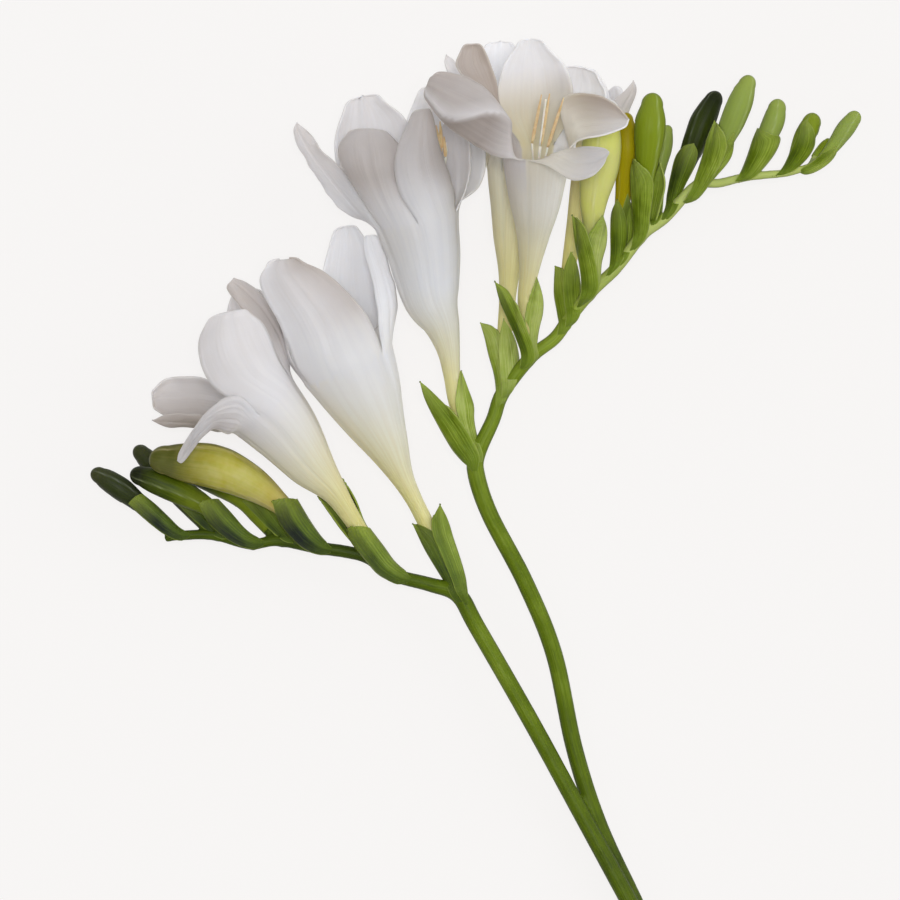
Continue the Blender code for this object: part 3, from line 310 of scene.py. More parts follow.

# The bracts' outlines as seen from above, from the foot on the stem to the tip: the edge at the left of the
# direction of growth, then the edge at its right. Face is 1 for a leaf that lies over its floret and -1 for
# one under it. Over is an extra lift, lean lifts the tip alone, and bow rounds the end of a sheath that has
# no single tip. Tones are from 0, deep green, to 1, pale: for the half at the left of its keel, then for the
# other. They are partly the bract's own green and partly painted shade and light: the half that turns from
# the light is painted deeper.
LEAVES = {
    "flower_1_outer_bract": {"edges": (
        ((-7.2, -27.5), (-10.2, -27.1), (-12.6, -26.1), (-14.8, -24.7), (-17.3, -21.8), (-19.8, -18.6),
         (-20.9, -15.9)),
        ((-6.6, -25.0), (-8.6, -24.3), (-11.0, -22.3), (-13.2, -19.3), (-16.0, -15.6)),
    ), "tones": (0.38, 0.62), "bow": 0.5, "over": 0.25},
    "flower_2_outer_bract": {"edges": (
        ((3.0, -32.6), (1.3, -28.6), (0.2, -25.6), (-2.2, -20.0), (-3.4, -17.0), (-3.5, -14.0), (-2.0, -10.8)),
        ((5.2, -31.8), (3.7, -28.6), (3.2, -25.6), (2.2, -22.0), (0.7, -17.5), (-0.4, -14.0), (-2.0, -10.8)),
    ), "tones": (0.5, 0.7), "over": 0.5},
    "flower_2_inner_bract": {"edges": (
        ((2.2, -33.0), (0.2, -29.4), (-0.9, -27.0), (-2.6, -24.2), (-5.2, -19.8), (-7.6, -14.7)),
        ((4.2, -31.6), (1.6, -26.5), (-0.6, -21.0), (-2.4, -17.2), (-5.0, -15.5), (-7.6, -14.7)),
    ), "tones": (0.38, 0.35)},
    "flower_3_outer_bract": {"edges": (
        ((3.8, -6.0), (2.9, -3.2), (1.9, -1.8), (0.2, 0.3), (-2.5, 5.0), (-5.0, 10.0), (-6.1, 13.8)),
        ((6.6, -5.4), (6.2, -2.0), (5.2, 0.6), (3.0, 4.6), (0.5, 7.6), (-3.9, 12.0), (-6.1, 13.8)),
    ), "tones": (0.58, 0.58), "over": 0.5, "lean": 1.5},
    "flower_3_inner_bract": {"edges": (
        ((4.8, -5.0), (4.2, -1.0), (2.4, 4.0), (1.1, 9.0), (1.6, 13.0), (2.3, 16.0)),
        ((6.9, -4.6), (6.8, -1.4), (5.6, 2.4), (4.9, 6.0), (4.8, 9.0), (3.6, 12.5), (2.3, 16.0)),
    ), "tones": (0.9, 0.8)},
    "flower_5_outer_bract": {"edges": (
        ((8.2, 6.6), (9.1, 10.0), (9.1, 12.6), (8.7, 15.4), (7.7, 19.0), (6.9, 22.5), (6.0, 25.6)),
        ((10.6, 7.4), (11.6, 11.0), (11.4, 15.0), (10.8, 19.0), (10.2, 22.6), (8.6, 24.8), (6.0, 25.6)),
    ), "tones": (0.8, 0.9)},
    "flower_5_inner_bract": {"edges": (
        ((9.6, 8.4), (10.4, 12.0), (9.9, 16.5), (9.7, 21.5), (10.7, 26.3)),
        ((11.4, 9.2), (13.0, 12.6), (14.0, 16.5), (13.6, 20.5), (12.6, 23.4), (10.7, 26.3)),
    ), "tones": (0.9, 0.95), "over": 0.4},
    "flower_4_outer_bract": {"edges": (
        ((12.4, 15.0), (13.8, 17.4), (14.2, 19.0), (13.5, 21.4), (12.0, 25.0), (10.0, 29.5), (8.9, 33.7)),
        ((14.9, 14.6), (16.8, 17.2), (17.0, 19.6), (16.3, 22.0), (14.8, 25.6), (13.4, 28.6), (11.6, 31.8),
         (8.9, 33.7)),
    ), "tones": (0.36, 0.72), "over": 0.5, "lean": 0.8},
    "flower_4_inner_bract": {"edges": (
        ((14.6, 15.8), (15.4, 19.4), (15.0, 23.0), (14.9, 26.0), (15.6, 29.5), (17.4, 34.5)),
        ((16.4, 15.8), (17.8, 18.4), (17.5, 21.0), (17.9, 24.2), (18.6, 27.2), (18.7, 29.8), (18.2, 32.2),
         (17.4, 34.5)),
    ), "tones": (0.9, 1.0)},
    "flower_6_outer_bract": {"edges": (
        ((20.2, 21.6), (21.7, 24.6), (21.4, 27.6), (20.8, 31.5), (21.0, 37.0)),
        ((22.6, 21.8), (24.6, 25.4), (24.2, 29.0), (23.6, 33.0), (22.6, 36.2), (21.0, 37.0)),
    ), "tones": (0.58, 0.7)},
    "flower_6_inner_bract": {"edges": (
        ((22.2, 22.8), (23.2, 26.4), (22.8, 30.0), (22.6, 33.0), (22.9, 36.4), (24.2, 39.8)),
        ((24.2, 23.4), (26.2, 27.4), (26.4, 31.0), (26.0, 35.2), (25.2, 38.2), (24.2, 39.8)),
    ), "tones": (0.58, 0.66), "over": 0.4},
    "bud_06_outer_bract": {"edges": (
        ((23.8, 27.6), (25.9, 30.6), (26.2, 33.6), (25.7, 37.5), (24.9, 41.5), (24.3, 47.0)),
        ((26.6, 27.8), (29.5, 31.6), (29.7, 34.6), (28.9, 38.4), (28.0, 41.5), (26.6, 44.8), (24.3, 47.0)),
    ), "tones": (0.56, 0.64), "over": 1.2},
    "bud_06_inner_bract": {"edges": (
        ((26.4, 29.2), (27.6, 33.0), (27.2, 37.0), (26.8, 40.0), (27.6, 43.0), (30.6, 46.8)),
        ((28.4, 29.8), (30.0, 33.0), (30.4, 37.4), (31.3, 41.0), (31.4, 44.2), (30.6, 46.8)),
    ), "tones": (0.85, 0.95), "over": 0.6},
    "bud_07_outer_bract": {"edges": (
        ((29.6, 33.8), (31.6, 36.0), (32.1, 39.0), (32.1, 44.0), (32.3, 47.5), (33.4, 50.2)),
        ((32.0, 34.4), (34.4, 37.6), (35.4, 41.0), (35.6, 44.6), (34.8, 48.0), (33.4, 50.2)),
    ), "tones": (0.42, 0.55), "over": 0.4},
    "bud_07_inner_bract": {"edges": (
        ((31.8, 35.4), (33.6, 38.6), (34.0, 43.0), (34.3, 47.0), (35.6, 51.4)),
        ((33.4, 35.6), (35.6, 38.4), (36.8, 42.4), (37.0, 47.0), (35.6, 51.4)),
    ), "tones": (0.55, 0.65)},
    "bud_08_outer_bract": {"edges": (
        ((34.8, 38.6), (36.4, 41.8), (36.6, 45.0), (36.2, 50.0), (36.0, 55.0), (36.5, 58.2)),
        ((37.2, 38.8), (39.5, 43.2), (40.2, 47.5), (40.7, 51.5), (40.4, 54.4), (38.4, 56.6), (36.5, 58.2)),
    ), "tones": (0.6, 0.68), "over": 0.35},
    "bud_08_inner_bract": {"edges": (
        ((36.6, 40.2), (38.4, 44.0), (38.8, 48.5), (39.4, 53.0), (41.6, 58.4)),
        ((38.6, 40.8), (40.8, 45.0), (42.0, 49.0), (42.9, 53.5), (41.6, 58.4)),
    ), "tones": (0.6, 0.7), "face": -1},
    "bud_09_outer_bract": {"edges": (
        ((39.4, 43.4), (40.2, 47.0), (40.4, 50.0), (40.9, 53.0), (42.3, 55.4)),
        ((41.6, 44.6), (42.6, 47.6), (42.9, 50.5), (43.1, 53.2), (42.3, 55.4)),
    ), "tones": (0.5, 0.6)},
    "bud_10_outer_bract": {"edges": (
        ((40.6, 44.2), (42.9, 48.0), (43.5, 51.4), (44.2, 55.0), (45.2, 58.8), (46.8, 60.9), (48.9, 61.5)),
        ((43.2, 44.8), (45.6, 48.6), (47.0, 52.6), (48.8, 56.2), (49.7, 59.4), (48.9, 61.5)),
    ), "tones": (0.24, 0.42)},
    "bud_11_outer_bract": {"edges": (
        ((45.6, 48.6), (48.0, 51.8), (49.2, 55.0), (50.4, 58.6), (51.4, 62.4), (52.9, 66.0)),
        ((47.4, 47.8), (50.6, 51.2), (53.0, 54.8), (54.9, 58.6), (55.2, 62.0), (52.9, 66.0)),
    ), "tones": (0.6, 0.75), "over": 0.35},
    "bud_11_inner_bract": {"edges": (
        ((47.6, 50.6), (50.4, 54.6), (52.8, 58.6), (57.0, 63.8)),
        ((49.4, 50.6), (53.2, 54.6), (56.4, 58.8), (57.0, 63.8)),
    ), "tones": (0.6, 0.7)},
    "bud_12_outer_bract": {"edges": (
        ((55.6, 52.8), (57.8, 55.0), (59.4, 58.6), (60.6, 62.2), (61.6, 64.6)),
        ((57.6, 53.0), (61.2, 54.8), (64.2, 58.0), (65.9, 60.8), (66.2, 62.8), (64.4, 63.2), (61.6, 64.6)),
    ), "tones": (0.52, 0.7)},
    "bud_13_outer_bract": {"edges": (
        ((63.6, 54.2), (66.3, 56.2), (68.0, 59.4), (69.3, 62.6), (70.0, 65.0), (71.4, 66.3)),
        ((65.6, 54.4), (69.2, 56.2), (71.8, 58.6), (73.2, 61.2), (73.0, 64.0), (71.4, 66.3)),
    ), "tones": (0.4, 0.55)},
    "bud_15_outer_bract": {"edges": (
        ((69.4, 56.0), (72.4, 57.6), (74.6, 59.4), (77.6, 60.8)),
        ((69.6, 54.8), (73.0, 55.6), (75.8, 57.3), (77.4, 59.2), (77.6, 60.8)),
    ), "tones": (0.6, 0.78)},
    "bud_01_outer_bract": {"edges": (
        ((-22.6, -21.5), (-25.6, -21.2), (-28.6, -20.3), (-31.4, -18.3), (-34.2, -14.8), (-35.6, -10.2)),
        ((-22.8, -19.0), (-24.6, -18.4), (-26.0, -17.0), (-28.2, -13.8), (-30.5, -9.9)),
    ), "tones": (0.0, 0.42), "bow": 0.4, "over": 0.25},
    "bud_02_outer_bract": {"edges": (
        ((-30.0, -19.6), (-33.4, -18.2), (-36.4, -15.8), (-39.2, -13.0), (-41.8, -10.2)),
        ((-30.4, -17.6), (-32.6, -16.0), (-34.6, -13.0), (-36.6, -9.8)),
    ), "tones": (0.4, 0.5), "bow": 0.4},
    "bud_03_outer_bract": {"edges": (
        ((-36.0, -19.9), (-39.0, -20.0), (-42.0, -19.4), (-45.0, -17.8), (-48.4, -14.8), (-50.4, -10.8)),
        ((-36.2, -17.5), (-38.6, -17.4), (-41.0, -15.8), (-44.0, -12.4), (-46.4, -9.8)),
    ), "tones": (0.12, 0.42), "bow": 0.4, "over": 0.25},
    "bud_04_outer_bract": {"edges": (
        ((-43.4, -18.6), (-47.0, -17.4), (-50.6, -14.8), (-54.8, -10.9)),
        ((-43.8, -16.6), (-46.4, -15.2), (-49.0, -12.0), (-51.6, -9.2)),
    ), "tones": (0.2, 0.42), "bow": 0.3},
    "bud_05_outer_bract": {"edges": (
        ((-51.0, -18.0), (-54.4, -18.2), (-57.4, -16.9), (-60.6, -14.4), (-64.5, -10.8)),
        ((-51.2, -16.1), (-53.8, -15.8), (-56.4, -13.4), (-59.0, -10.9), (-61.7, -8.7)),
    ), "tones": (0.1, 0.34), "bow": 0.3, "over": 0.25},
    "flower_1_inner_bract": {"edges": (
        ((-11.0, -26.0), (-15.4, -22.6), (-20.6, -17.2), (-24.2, -12.4), (-26.5, -9.1)),
        ((-10.0, -23.6), (-14.4, -18.6), (-17.2, -14.6), (-19.2, -9.8), (-21.8, -5.5)),
    ), "tones": (0.35, 0.35), "face": -1, "bow": -4.5},
}

# The free parts of the tepals, flower by flower. Arcs are the angles round the tube's mouth at which each
# tepal begins. A sheet has two edges, from the mouth to its tip: the first lies at the smaller angle. Camber
# is how far its middle bows outwards, as a share of its half-width, and fold sets a ridge where ridge says,
# at its foot and at its tip. Its shading pair is the tone added beyond that ridge, which is painted shade,
# and in a band along the ridge, which is a painted highlight. A tepal that stands behind others has its
# midrib's free points instead, its widest half-width, its cup in degrees, and the exponent of its outline at
# the tip, where 0.5 is round and 0.9 is pointed.
# Tones are painted shade and light on the white tissue, from 0, beige shade, to 1, white: the tube's at its
# left and right side, then each tepal's at the foot of its first and second edge and at the tip of both, or
# its only one. Rise is the share of its length at which the tip's tone is reached, and cool turns the painted
# beige shade to grey. Cream is the share of the tube that is yellow, warm is a little more of it on the
# tube's left side, a painted warm shade there, and throat is how yellow the feet of the tepals with an
# inside are.
SHEETS = {
    "flower_1": {
        "arcs": (-12, 78, 122, 180, 236, 292), "cream": 1.0,
        "tones": (
            (0.69, 0.82), (0.52, 0.65, 0.56, 0.58), (0.32, 0.48, 0.24, 0.37), 0.55, (0.48, 0.17, 0.58, 0.27),
            0.18, (0.04, 0.37, 0.41, 0.47),
        ),
        "sheets": (
            {"edges": (
                ((-42.0, 8.8, 23.4), (-46.6, 11.8, 24.0), (-49.5, 16.0, 24.0), (-50.3, 21.2, 23.6),
                 (-48.6, 25.6, 23.2), (-43.2, 27.9, 23.0)),
                ((-32.4, 14.2, 18.6), (-33.8, 17.5, 19.4), (-35.6, 21.8, 20.4), (-37.2, 25.2, 21.4),
                 (-39.6, 27.2, 22.4), (-43.2, 27.9, 23.0)),
            ), "camber": 0.42, "curl": -0.5},
            {"edges": (
                ((-33.6, 14.5, 18.0), (-36.4, 20.6, 18.2), (-39.2, 25.4, 18.6), (-42.0, 29.0, 18.8),
                 (-44.2, 31.8, 18.4), (-44.0, 33.8, 17.8)),
                ((-30.8, 13.8, 13.6), (-31.3, 18.4, 12.6), (-33.4, 24.6, 12.6), (-36.4, 29.8, 13.6),
                 (-39.6, 33.0, 15.4), (-42.4, 34.2, 17.0), (-44.0, 33.8, 17.8)),
            ), "camber": 0.3},
            {"edges": (
                ((-31.6, 13.2, 9.6), (-33.4, 20.0, 7.6), (-35.4, 27.0, 6.6), (-37.4, 31.4, 6.2),
                 (-40.6, 32.6, 6.0)),
                ((-38.8, 9.0, 8.4), (-42.6, 16.0, 5.6), (-44.6, 24.0, 4.6), (-44.6, 28.6, 5.0),
                 (-43.6, 31.6, 5.6), (-40.6, 32.6, 6.0)),
            ), "camber": 0.25},
            {"edges": (
                ((-43.6, 11.6, 9.6), (-49.0, 14.4, 7.6), (-53.6, 14.8, 6.6), (-57.2, 14.3, 6.2),
                 (-59.4, 12.4, 6.2), (-59.9, 10.2, 6.4)),
                ((-42.4, 4.6, 9.0), (-47.0, 6.0, 7.6), (-52.0, 6.5, 6.6), (-56.4, 6.6, 6.2),
                 (-58.9, 7.8, 6.2), (-59.9, 10.2, 6.4)),
            ), "camber": 0.3},
            {"edges": (
                ((-42.8, 3.4, 10.6), (-47.0, 3.3, 9.6), (-51.4, 3.9, 9.2), (-56.6, 4.4, 9.4),
                 (-59.8, 5.9, 9.8)),
                ((-43.6, 4.6, 17.6), (-47.6, 5.8, 16.0), (-51.6, 6.9, 14.0), (-56.8, 6.9, 11.6),
                 (-59.8, 5.9, 9.8)),
            ), "pointed": True, "camber": 0.15, "ruffle": 0.25},
            {"edges": (
                ((-41.4, 2.0, 19.4), (-44.8, 3.4, 22.0), (-47.4, 4.2, 24.2), (-49.8, 1.8, 25.2),
                 (-51.6, -0.6, 24.6), (-53.4, -2.6, 23.6), (-54.4, -2.2, 23.4)),
                ((-37.4, 8.6, 23.6), (-41.0, 10.5, 25.4), (-44.6, 10.0, 26.8), (-48.4, 7.4, 27.0),
                 (-51.8, 3.2, 25.8), (-54.0, -0.4, 24.2), (-54.4, -2.2, 23.4)),
            ), "pointed": True, "camber": 0.3, "ribs": 0.3, "cool": 0.5},
        ),
    },
    "flower_2": {
        "arcs": (-72, 52, 100, 152, 208, 250), "cream": 0.95, "warm": 0.2,
        "tones": ((0.85, 1.0), (1.0, 0.32, 0.58, 0.1), 1.0, 1.0, 1.0, 0.73, 0.68),
        "sheets": (
            {"edges": (
                ((-28.8, 12.8, 17.2), (-30.9, 16.2, 18.4), (-32.2, 20.6, 19.2), (-34.2, 25.6, 20.4),
                 (-36.8, 30.2, 21.2), (-38.0, 34.0, 21.6), (-36.6, 36.9, 22.0), (-33.0, 38.1, 22.3)),
                ((-13.8, 20.0, 18.4), (-14.8, 23.2, 20.0), (-17.0, 27.6, 21.0), (-20.2, 31.4, 21.6),
                 (-25.0, 35.6, 22.0), (-29.4, 37.6, 22.2), (-33.0, 38.1, 22.3)),
            ), "camber": 0.5, "curl": -1.0},
            {"edges": (
                ((-14.2, 21.0, 17.0), (-14.7, 28.0, 16.4), (-15.4, 34.0, 16.0), (-16.8, 39.0, 15.4),
                 (-17.2, 41.6, 15.0), (-16.0, 43.3, 14.6)),
                ((-11.4, 21.6, 12.4), (-10.7, 27.0, 13.0), (-10.7, 31.4, 13.6), (-12.0, 36.8, 14.0),
                 (-13.6, 41.2, 14.2), (-16.0, 43.3, 14.6)),
            ), "camber": 0.3},
            {"edges": (
                ((-11.6, 21.4, 11.0), (-10.9, 27.0, 8.6), (-11.2, 32.0, 7.0), (-12.8, 37.0, 6.0),
                 (-15.4, 40.6, 5.4)),
                ((-13.0, 21.0, 8.0), (-15.0, 28.0, 5.4), (-17.2, 34.0, 4.6), (-18.0, 38.0, 4.6),
                 (-15.4, 40.6, 5.4)),
            ), "camber": 0.1},
            {"edges": (
                ((-13.2, 21.0, 8.4), (-13.6, 30.0, 9.6), (-15.4, 37.0, 11.2), (-16.6, 41.4, 12.6),
                 (-18.0, 43.9, 13.8), (-20.8, 44.9, 14.2)),
                ((-27.0, 13.6, 7.0), (-28.0, 24.0, 9.6), (-26.4, 33.0, 12.2), (-24.9, 38.4, 13.3),
                 (-23.6, 42.9, 14.0), (-20.8, 44.9, 14.2)),
            ), "camber": 0.22},
            {"midrib": ((-27.0, 27.0, 4.5), (-31.0, 35.5, 4.5)), "width": 6.0, "cup": 35, "tip": 0.5},
            {"edges": (
                ((-28.8, 12.2, 8.6), (-30.8, 17.0, 9.0), (-31.8, 23.0, 10.0), (-33.2, 29.5, 12.0),
                 (-34.6, 33.5, 14.5)),
                ((-29.6, 13.2, 16.2), (-31.9, 18.0, 17.2), (-33.4, 24.4, 18.0), (-34.9, 29.6, 18.0),
                 (-34.6, 33.5, 14.5)),
            ), "camber": 0.15, "pointed": True},
        ),
    },
    "flower_3": {
        "arcs": (-62, 0, 72, 125, 182, 244), "cream": 0.72, "warm": 0.12,
        "tones": (
            (0.9, 1.0), (0.18, 0.16, 0.42, 0.36), (0.5, 0.36, 0.33, 0.16), (0.7, 0.45, 0.5, 0.4), 1.0, 0.76,
            (1.0, 0.46, 0.5, 0.42),
        ),
        "sheets": (
            {"edges": (
                ((-15.6, 46.0, 19.6), (-18.6, 51.0, 20.6), (-21.8, 56.4, 21.0), (-22.4, 60.4, 21.2),
                 (-20.6, 63.4, 21.4), (-16.6, 64.2, 21.6)),
                ((-6.8, 46.0, 24.0), (-8.4, 51.0, 24.6), (-9.4, 56.0, 24.2), (-9.8, 60.0, 23.4),
                 (-12.2, 63.2, 22.4), (-16.6, 64.2, 21.6)),
            ), "camber": 0.22, "curl": 1.2},
            {"edges": (
                ((-8.0, 46.4, 24.6), (-10.0, 51.0, 25.6), (-11.1, 56.0, 25.8), (-10.2, 61.0, 25.2),
                 (-8.2, 65.4, 24.2), (-5.0, 68.2, 23.4)),
                ((1.9, 47.8, 18.6), (0.8, 52.0, 20.6), (-0.8, 57.0, 22.4), (-2.4, 62.0, 23.0),
                 (-3.2, 66.2, 23.2), (-5.0, 68.2, 23.4)),
            ), "camber": 0.5},
            {"edges": (
                ((2.3, 48.0, 17.0), (3.6, 52.4, 18.4), (4.5, 57.0, 19.0), (4.4, 60.8, 18.6),
                 (3.2, 64.2, 17.4), (0.8, 67.0, 15.6)),
                ((0.2, 47.0, 11.4), (-1.8, 52.0, 12.4), (-2.6, 58.0, 13.4), (-2.2, 63.0, 14.2),
                 (-0.8, 66.0, 15.0), (0.8, 67.0, 15.6)),
            ), "camber": 0.2},
            {"edges": (
                ((1.6, 47.0, 12.0), (4.6, 50.5, 12.8), (7.0, 54.8, 13.4), (7.3, 60.0, 13.6),
                 (5.6, 66.0, 13.2), (1.4, 71.2, 12.6), (-3.0, 73.1, 12.4)),
                ((-6.4, 46.0, 7.4), (-8.0, 54.0, 7.2), (-9.0, 61.0, 8.4), (-8.6, 66.0, 10.4),
                 (-7.0, 70.4, 12.0), (-3.0, 73.1, 12.4)),
            ), "camber": 0.22},
            {"edges": (
                ((-7.4, 46.0, 7.8), (-7.0, 54.0, 8.6), (-7.4, 61.0, 10.4), (-9.0, 66.4, 12.0),
                 (-12.8, 69.6, 13.0), (-17.2, 71.0, 13.2)),
                ((-15.0, 45.4, 10.8), (-19.6, 50.6, 11.4), (-22.8, 57.0, 12.8), (-23.1, 62.6, 13.6),
                 (-21.6, 67.6, 13.6), (-17.2, 71.0, 13.2)),
            ), "camber": 0.3, "crease": 0.9},
            {"edges": (
                ((-15.2, 44.2, 11.6), (-19.8, 46.4, 11.4), (-24.2, 50.2, 11.0), (-27.6, 55.4, 10.6),
                 (-30.4, 60.4, 10.8), (-31.5, 63.8, 11.2), (-30.7, 65.7, 11.6)),
                ((-15.6, 47.0, 17.4), (-18.6, 51.4, 15.8), (-22.6, 56.8, 14.4), (-25.6, 60.4, 13.4),
                 (-28.8, 63.8, 12.2), (-30.7, 65.7, 11.6)),
            ), "camber": 0.12, "pointed": True, "ruffle": 0.9},
        ),
    },
    "flower_4": {
        "arcs": (-18, 40, 92, 150, 210, 262), "cream": 0.95, "throat": 0.38,
        "tones": (
            (0.3, 0.93), (0.27, 0.15, 0.31, 0.23), (0.3, -0.05, 0.95, 0.08), 1.0, (0.04, 0.04, 1.0, 1.0),
            (0.07, 0.12, 0.07, 0.12), (0.26, 0.3, 0.04, 0.14),
        ),
        "sheets": (
            {"edges": (
                ((16.4, 57.6, 35.6), (18.6, 56.6, 38.2), (21.6, 54.6, 39.6), (24.6, 53.3, 39.6),
                 (28.0, 54.0, 38.8), (30.4, 56.4, 37.8), (31.4, 59.0, 37.0)),
                ((21.2, 58.6, 34.2), (23.2, 59.3, 35.4), (25.6, 59.8, 36.4), (28.4, 60.0, 37.0),
                 (30.4, 59.8, 37.0), (31.4, 59.0, 37.0)),
            ), "pointed": True, "camber": -0.25, "ruffle": 0.3, "ribs": 0.1, "cool": 0.9, "inside": 0.6},
            {"edges": (
                ((22.4, 60.6, 32.6), (25.4, 61.2, 34.4), (29.0, 61.8, 35.6), (32.6, 62.8, 35.6),
                 (34.9, 64.0, 35.2), (35.6, 65.6, 34.8)),
                ((21.0, 64.6, 27.4), (22.0, 69.2, 28.8), (25.6, 71.0, 30.4), (29.8, 70.3, 31.8),
                 (33.4, 68.2, 33.4), (35.6, 65.6, 34.8)),
            ), "pointed": True, "camber": 0.5, "inside": 0.6},
            {"edges": (
                ((23.2, 61.4, 25.4), (27.6, 65.0, 26.0), (30.9, 68.6, 26.4), (31.4, 71.2, 26.6),
                 (30.0, 73.7, 26.4), (26.4, 76.1, 26.0)),
                ((20.4, 62.0, 20.4), (20.6, 68.0, 20.2), (21.2, 73.0, 21.4), (22.6, 75.8, 23.8),
                 (26.4, 76.1, 26.0)),
            ), "camber": 0.3},
            {"edges": (
                ((21.6, 61.0, 22.4), (23.9, 66.6, 24.6), (24.5, 72.0, 25.6), (22.9, 76.6, 26.6),
                 (19.7, 80.0, 27.4), (16.0, 81.9, 28.0)),
                ((12.2, 61.0, 22.4), (9.8, 66.4, 24.6), (9.4, 71.4, 25.6), (10.5, 76.4, 26.6),
                 (12.8, 80.0, 27.4), (16.0, 81.9, 28.0)),
            ), "camber": 0.34, "rise": 0.75, "inside": 1.0},
            {"edges": (
                ((11.8, 61.8, 25.0), (10.0, 67.0, 26.2), (9.4, 71.6, 27.4), (8.2, 76.2, 28.4),
                 (6.9, 79.4, 29.2), (4.5, 80.9, 29.8)),
                ((11.2, 60.2, 27.4), (9.6, 65.4, 29.6), (6.4, 69.8, 31.0), (3.0, 73.2, 31.6),
                 (1.0, 76.4, 31.0), (2.0, 79.2, 30.2), (4.5, 80.9, 29.8)),
            ), "camber": 0.3},
            {"edges": (
                ((11.6, 63.4, 30.4), (9.6, 67.8, 32.2), (6.8, 71.4, 34.4), (3.0, 73.9, 36.2),
                 (-1.4, 74.9, 37.4), (-4.3, 72.6, 38.0)),
                ((17.4, 57.9, 36.4), (13.6, 57.7, 37.0), (9.4, 58.1, 37.4), (5.4, 60.2, 37.6),
                 (1.4, 62.7, 37.8), (-1.6, 65.4, 38.0), (-4.0, 68.6, 38.0), (-4.3, 72.6, 38.0)),
            ), "camber": -0.24, "fold": -0.6, "ridge": (-0.1, 0.96), "fold_shading": (-0.26, 0.24), "ruffle": 0.5,
             "cool": 0.4},
        ),
    },
    "flower_5": {
        "arcs": (-30, 30, 90, 150, 210, 270), "cream": 1.5,
        "tones": ((0.8, 1.0), 0.73, 0.73, 0.73, 1.0, 0.6, 0.73),
        "sheets": (
            {"midrib": ((14.0, 65.0, 16.5), (14.0, 73.0, 17.0)), "width": 4.6, "cup": 45, "tip": 0.5},
            {"midrib": ((18.0, 64.5, 13.0), (19.0, 72.0, 12.5)), "width": 4.4, "cup": 45, "tip": 0.5},
            {"midrib": ((17.5, 66.0, 6.0), (19.0, 76.0, 4.5)), "width": 4.8, "cup": 40, "tip": 0.5},
            {"edges": (
                ((16.6, 59.0, 4.6), (16.4, 68.0, 2.9), (15.4, 75.0, 2.2), (13.6, 80.4, 1.9),
                 (10.2, 82.2, 1.9)),
                ((8.4, 59.0, 4.6), (5.8, 68.0, 3.0), (5.2, 75.0, 2.3), (6.5, 80.2, 1.9), (10.2, 82.2, 1.9)),
            ), "camber": 0.12},
            {"edges": (
                ((7.8, 60.0, 6.6), (5.8, 69.0, 7.2), (3.0, 75.0, 8.6), (0.9, 78.0, 9.4), (-0.8, 79.3, 9.8)),
                ((7.0, 60.0, 10.6), (3.4, 69.0, 10.8), (0.2, 74.2, 10.6), (-1.1, 77.4, 10.2),
                 (-0.8, 79.3, 9.8)),
            ), "camber": 0.2, "pointed": True},
            {"midrib": ((8.6, 65.0, 14.5), (7.0, 73.0, 15.5)), "width": 4.2, "cup": 40, "tip": 0.5},
        ),
    },
    "flower_6": {
        "arcs": (-10, 50, 110, 170, 230, 290), "cream": 2.4,
        "tones": ((1.0, 1.0), 0.73, 0.35, 0.73, 0.87, 0.73, 0.73),
        "sheets": (
            {"midrib": ((31.2, 65.0, 12.0), (31.4, 70.0, 12.5)), "width": 3.6, "cup": 45, "tip": 0.5},
            {"edges": (
                ((32.0, 61.5, 10.8), (32.0, 65.4, 9.8), (32.6, 69.4, 8.8), (34.8, 71.8, 7.8),
                 (36.9, 74.2, 7.0)),
                ((34.0, 60.6, 6.6), (35.6, 64.6, 6.0), (36.6, 68.6, 5.8), (37.5, 72.2, 6.2),
                 (36.9, 74.2, 7.0)),
            ), "camber": 0.25, "pointed": True},
            {"midrib": ((32.6, 66.5, 2.5), (33.0, 73.0, 1.5)), "width": 3.8, "cup": 40, "tip": 0.5},
            {"edges": (
                ((32.6, 62.0, 4.2), (32.8, 68.0, 3.0), (31.6, 72.8, 2.4), (29.8, 75.7, 2.2),
                 (27.4, 76.7, 2.2)),
                ((27.0, 62.0, 4.2), (25.2, 68.0, 2.9), (24.4, 73.0, 2.3), (25.2, 75.9, 2.2),
                 (27.4, 76.7, 2.2)),
            ), "camber": 0.12},
            {"midrib": ((25.2, 65.5, 5.0), (24.4, 72.0, 5.0)), "width": 3.6, "cup": 40, "tip": 0.5},
            {"midrib": ((27.0, 64.5, 11.5), (26.4, 70.5, 12.0)), "width": 3.4, "cup": 45, "tip": 0.5},
        ),
    },
}

# The stamens, as (foot, tip) of each anther and then of the style's free end.
STAMEN_LINES = {
    "flower_1": (
        ((-38.6, 11.6, 17.6), (-42.6, 15.4, 17.8)), ((-37.8, 10.0, 14.4), (-42.2, 13.2, 13.0)),
        ((-36.6, 12.2, 14.2), (-40.4, 16.6, 13.4)), ((-37.6, 11.2, 15.6), (-42.0, 15.0, 15.6)),
    ),
    "flower_2": (
        ((-22.6, 19.6, 16.2), (-25.0, 24.4, 16.6)), ((-20.6, 20.6, 13.2), (-22.6, 25.4, 12.6)),
        ((-22.8, 20.0, 12.8), (-25.4, 24.4, 12.2)), ((-21.8, 20.0, 14.4), (-24.4, 25.0, 14.6)),
    ),
    "flower_3": (
        ((-1.8, 59.4, 18.8), (-2.8, 64.8, 20.4)), ((-0.9, 58.6, 18.0), (-1.2, 62.6, 19.2)),
        ((-1.6, 60.4, 17.8), (-2.0, 65.6, 19.0)), ((-0.6, 59.4, 17.6), (-0.8, 61.4, 18.6)),
    ),
    "flower_4": (
        ((16.3, 61.0, 29.6), (18.2, 70.6, 32.0)), ((18.0, 60.4, 29.4), (19.8, 70.8, 31.6)),
        ((19.4, 60.2, 29.2), (22.6, 70.0, 31.6)), ((17.8, 60.4, 30.4), (19.0, 69.6, 33.4)),
    ),
}
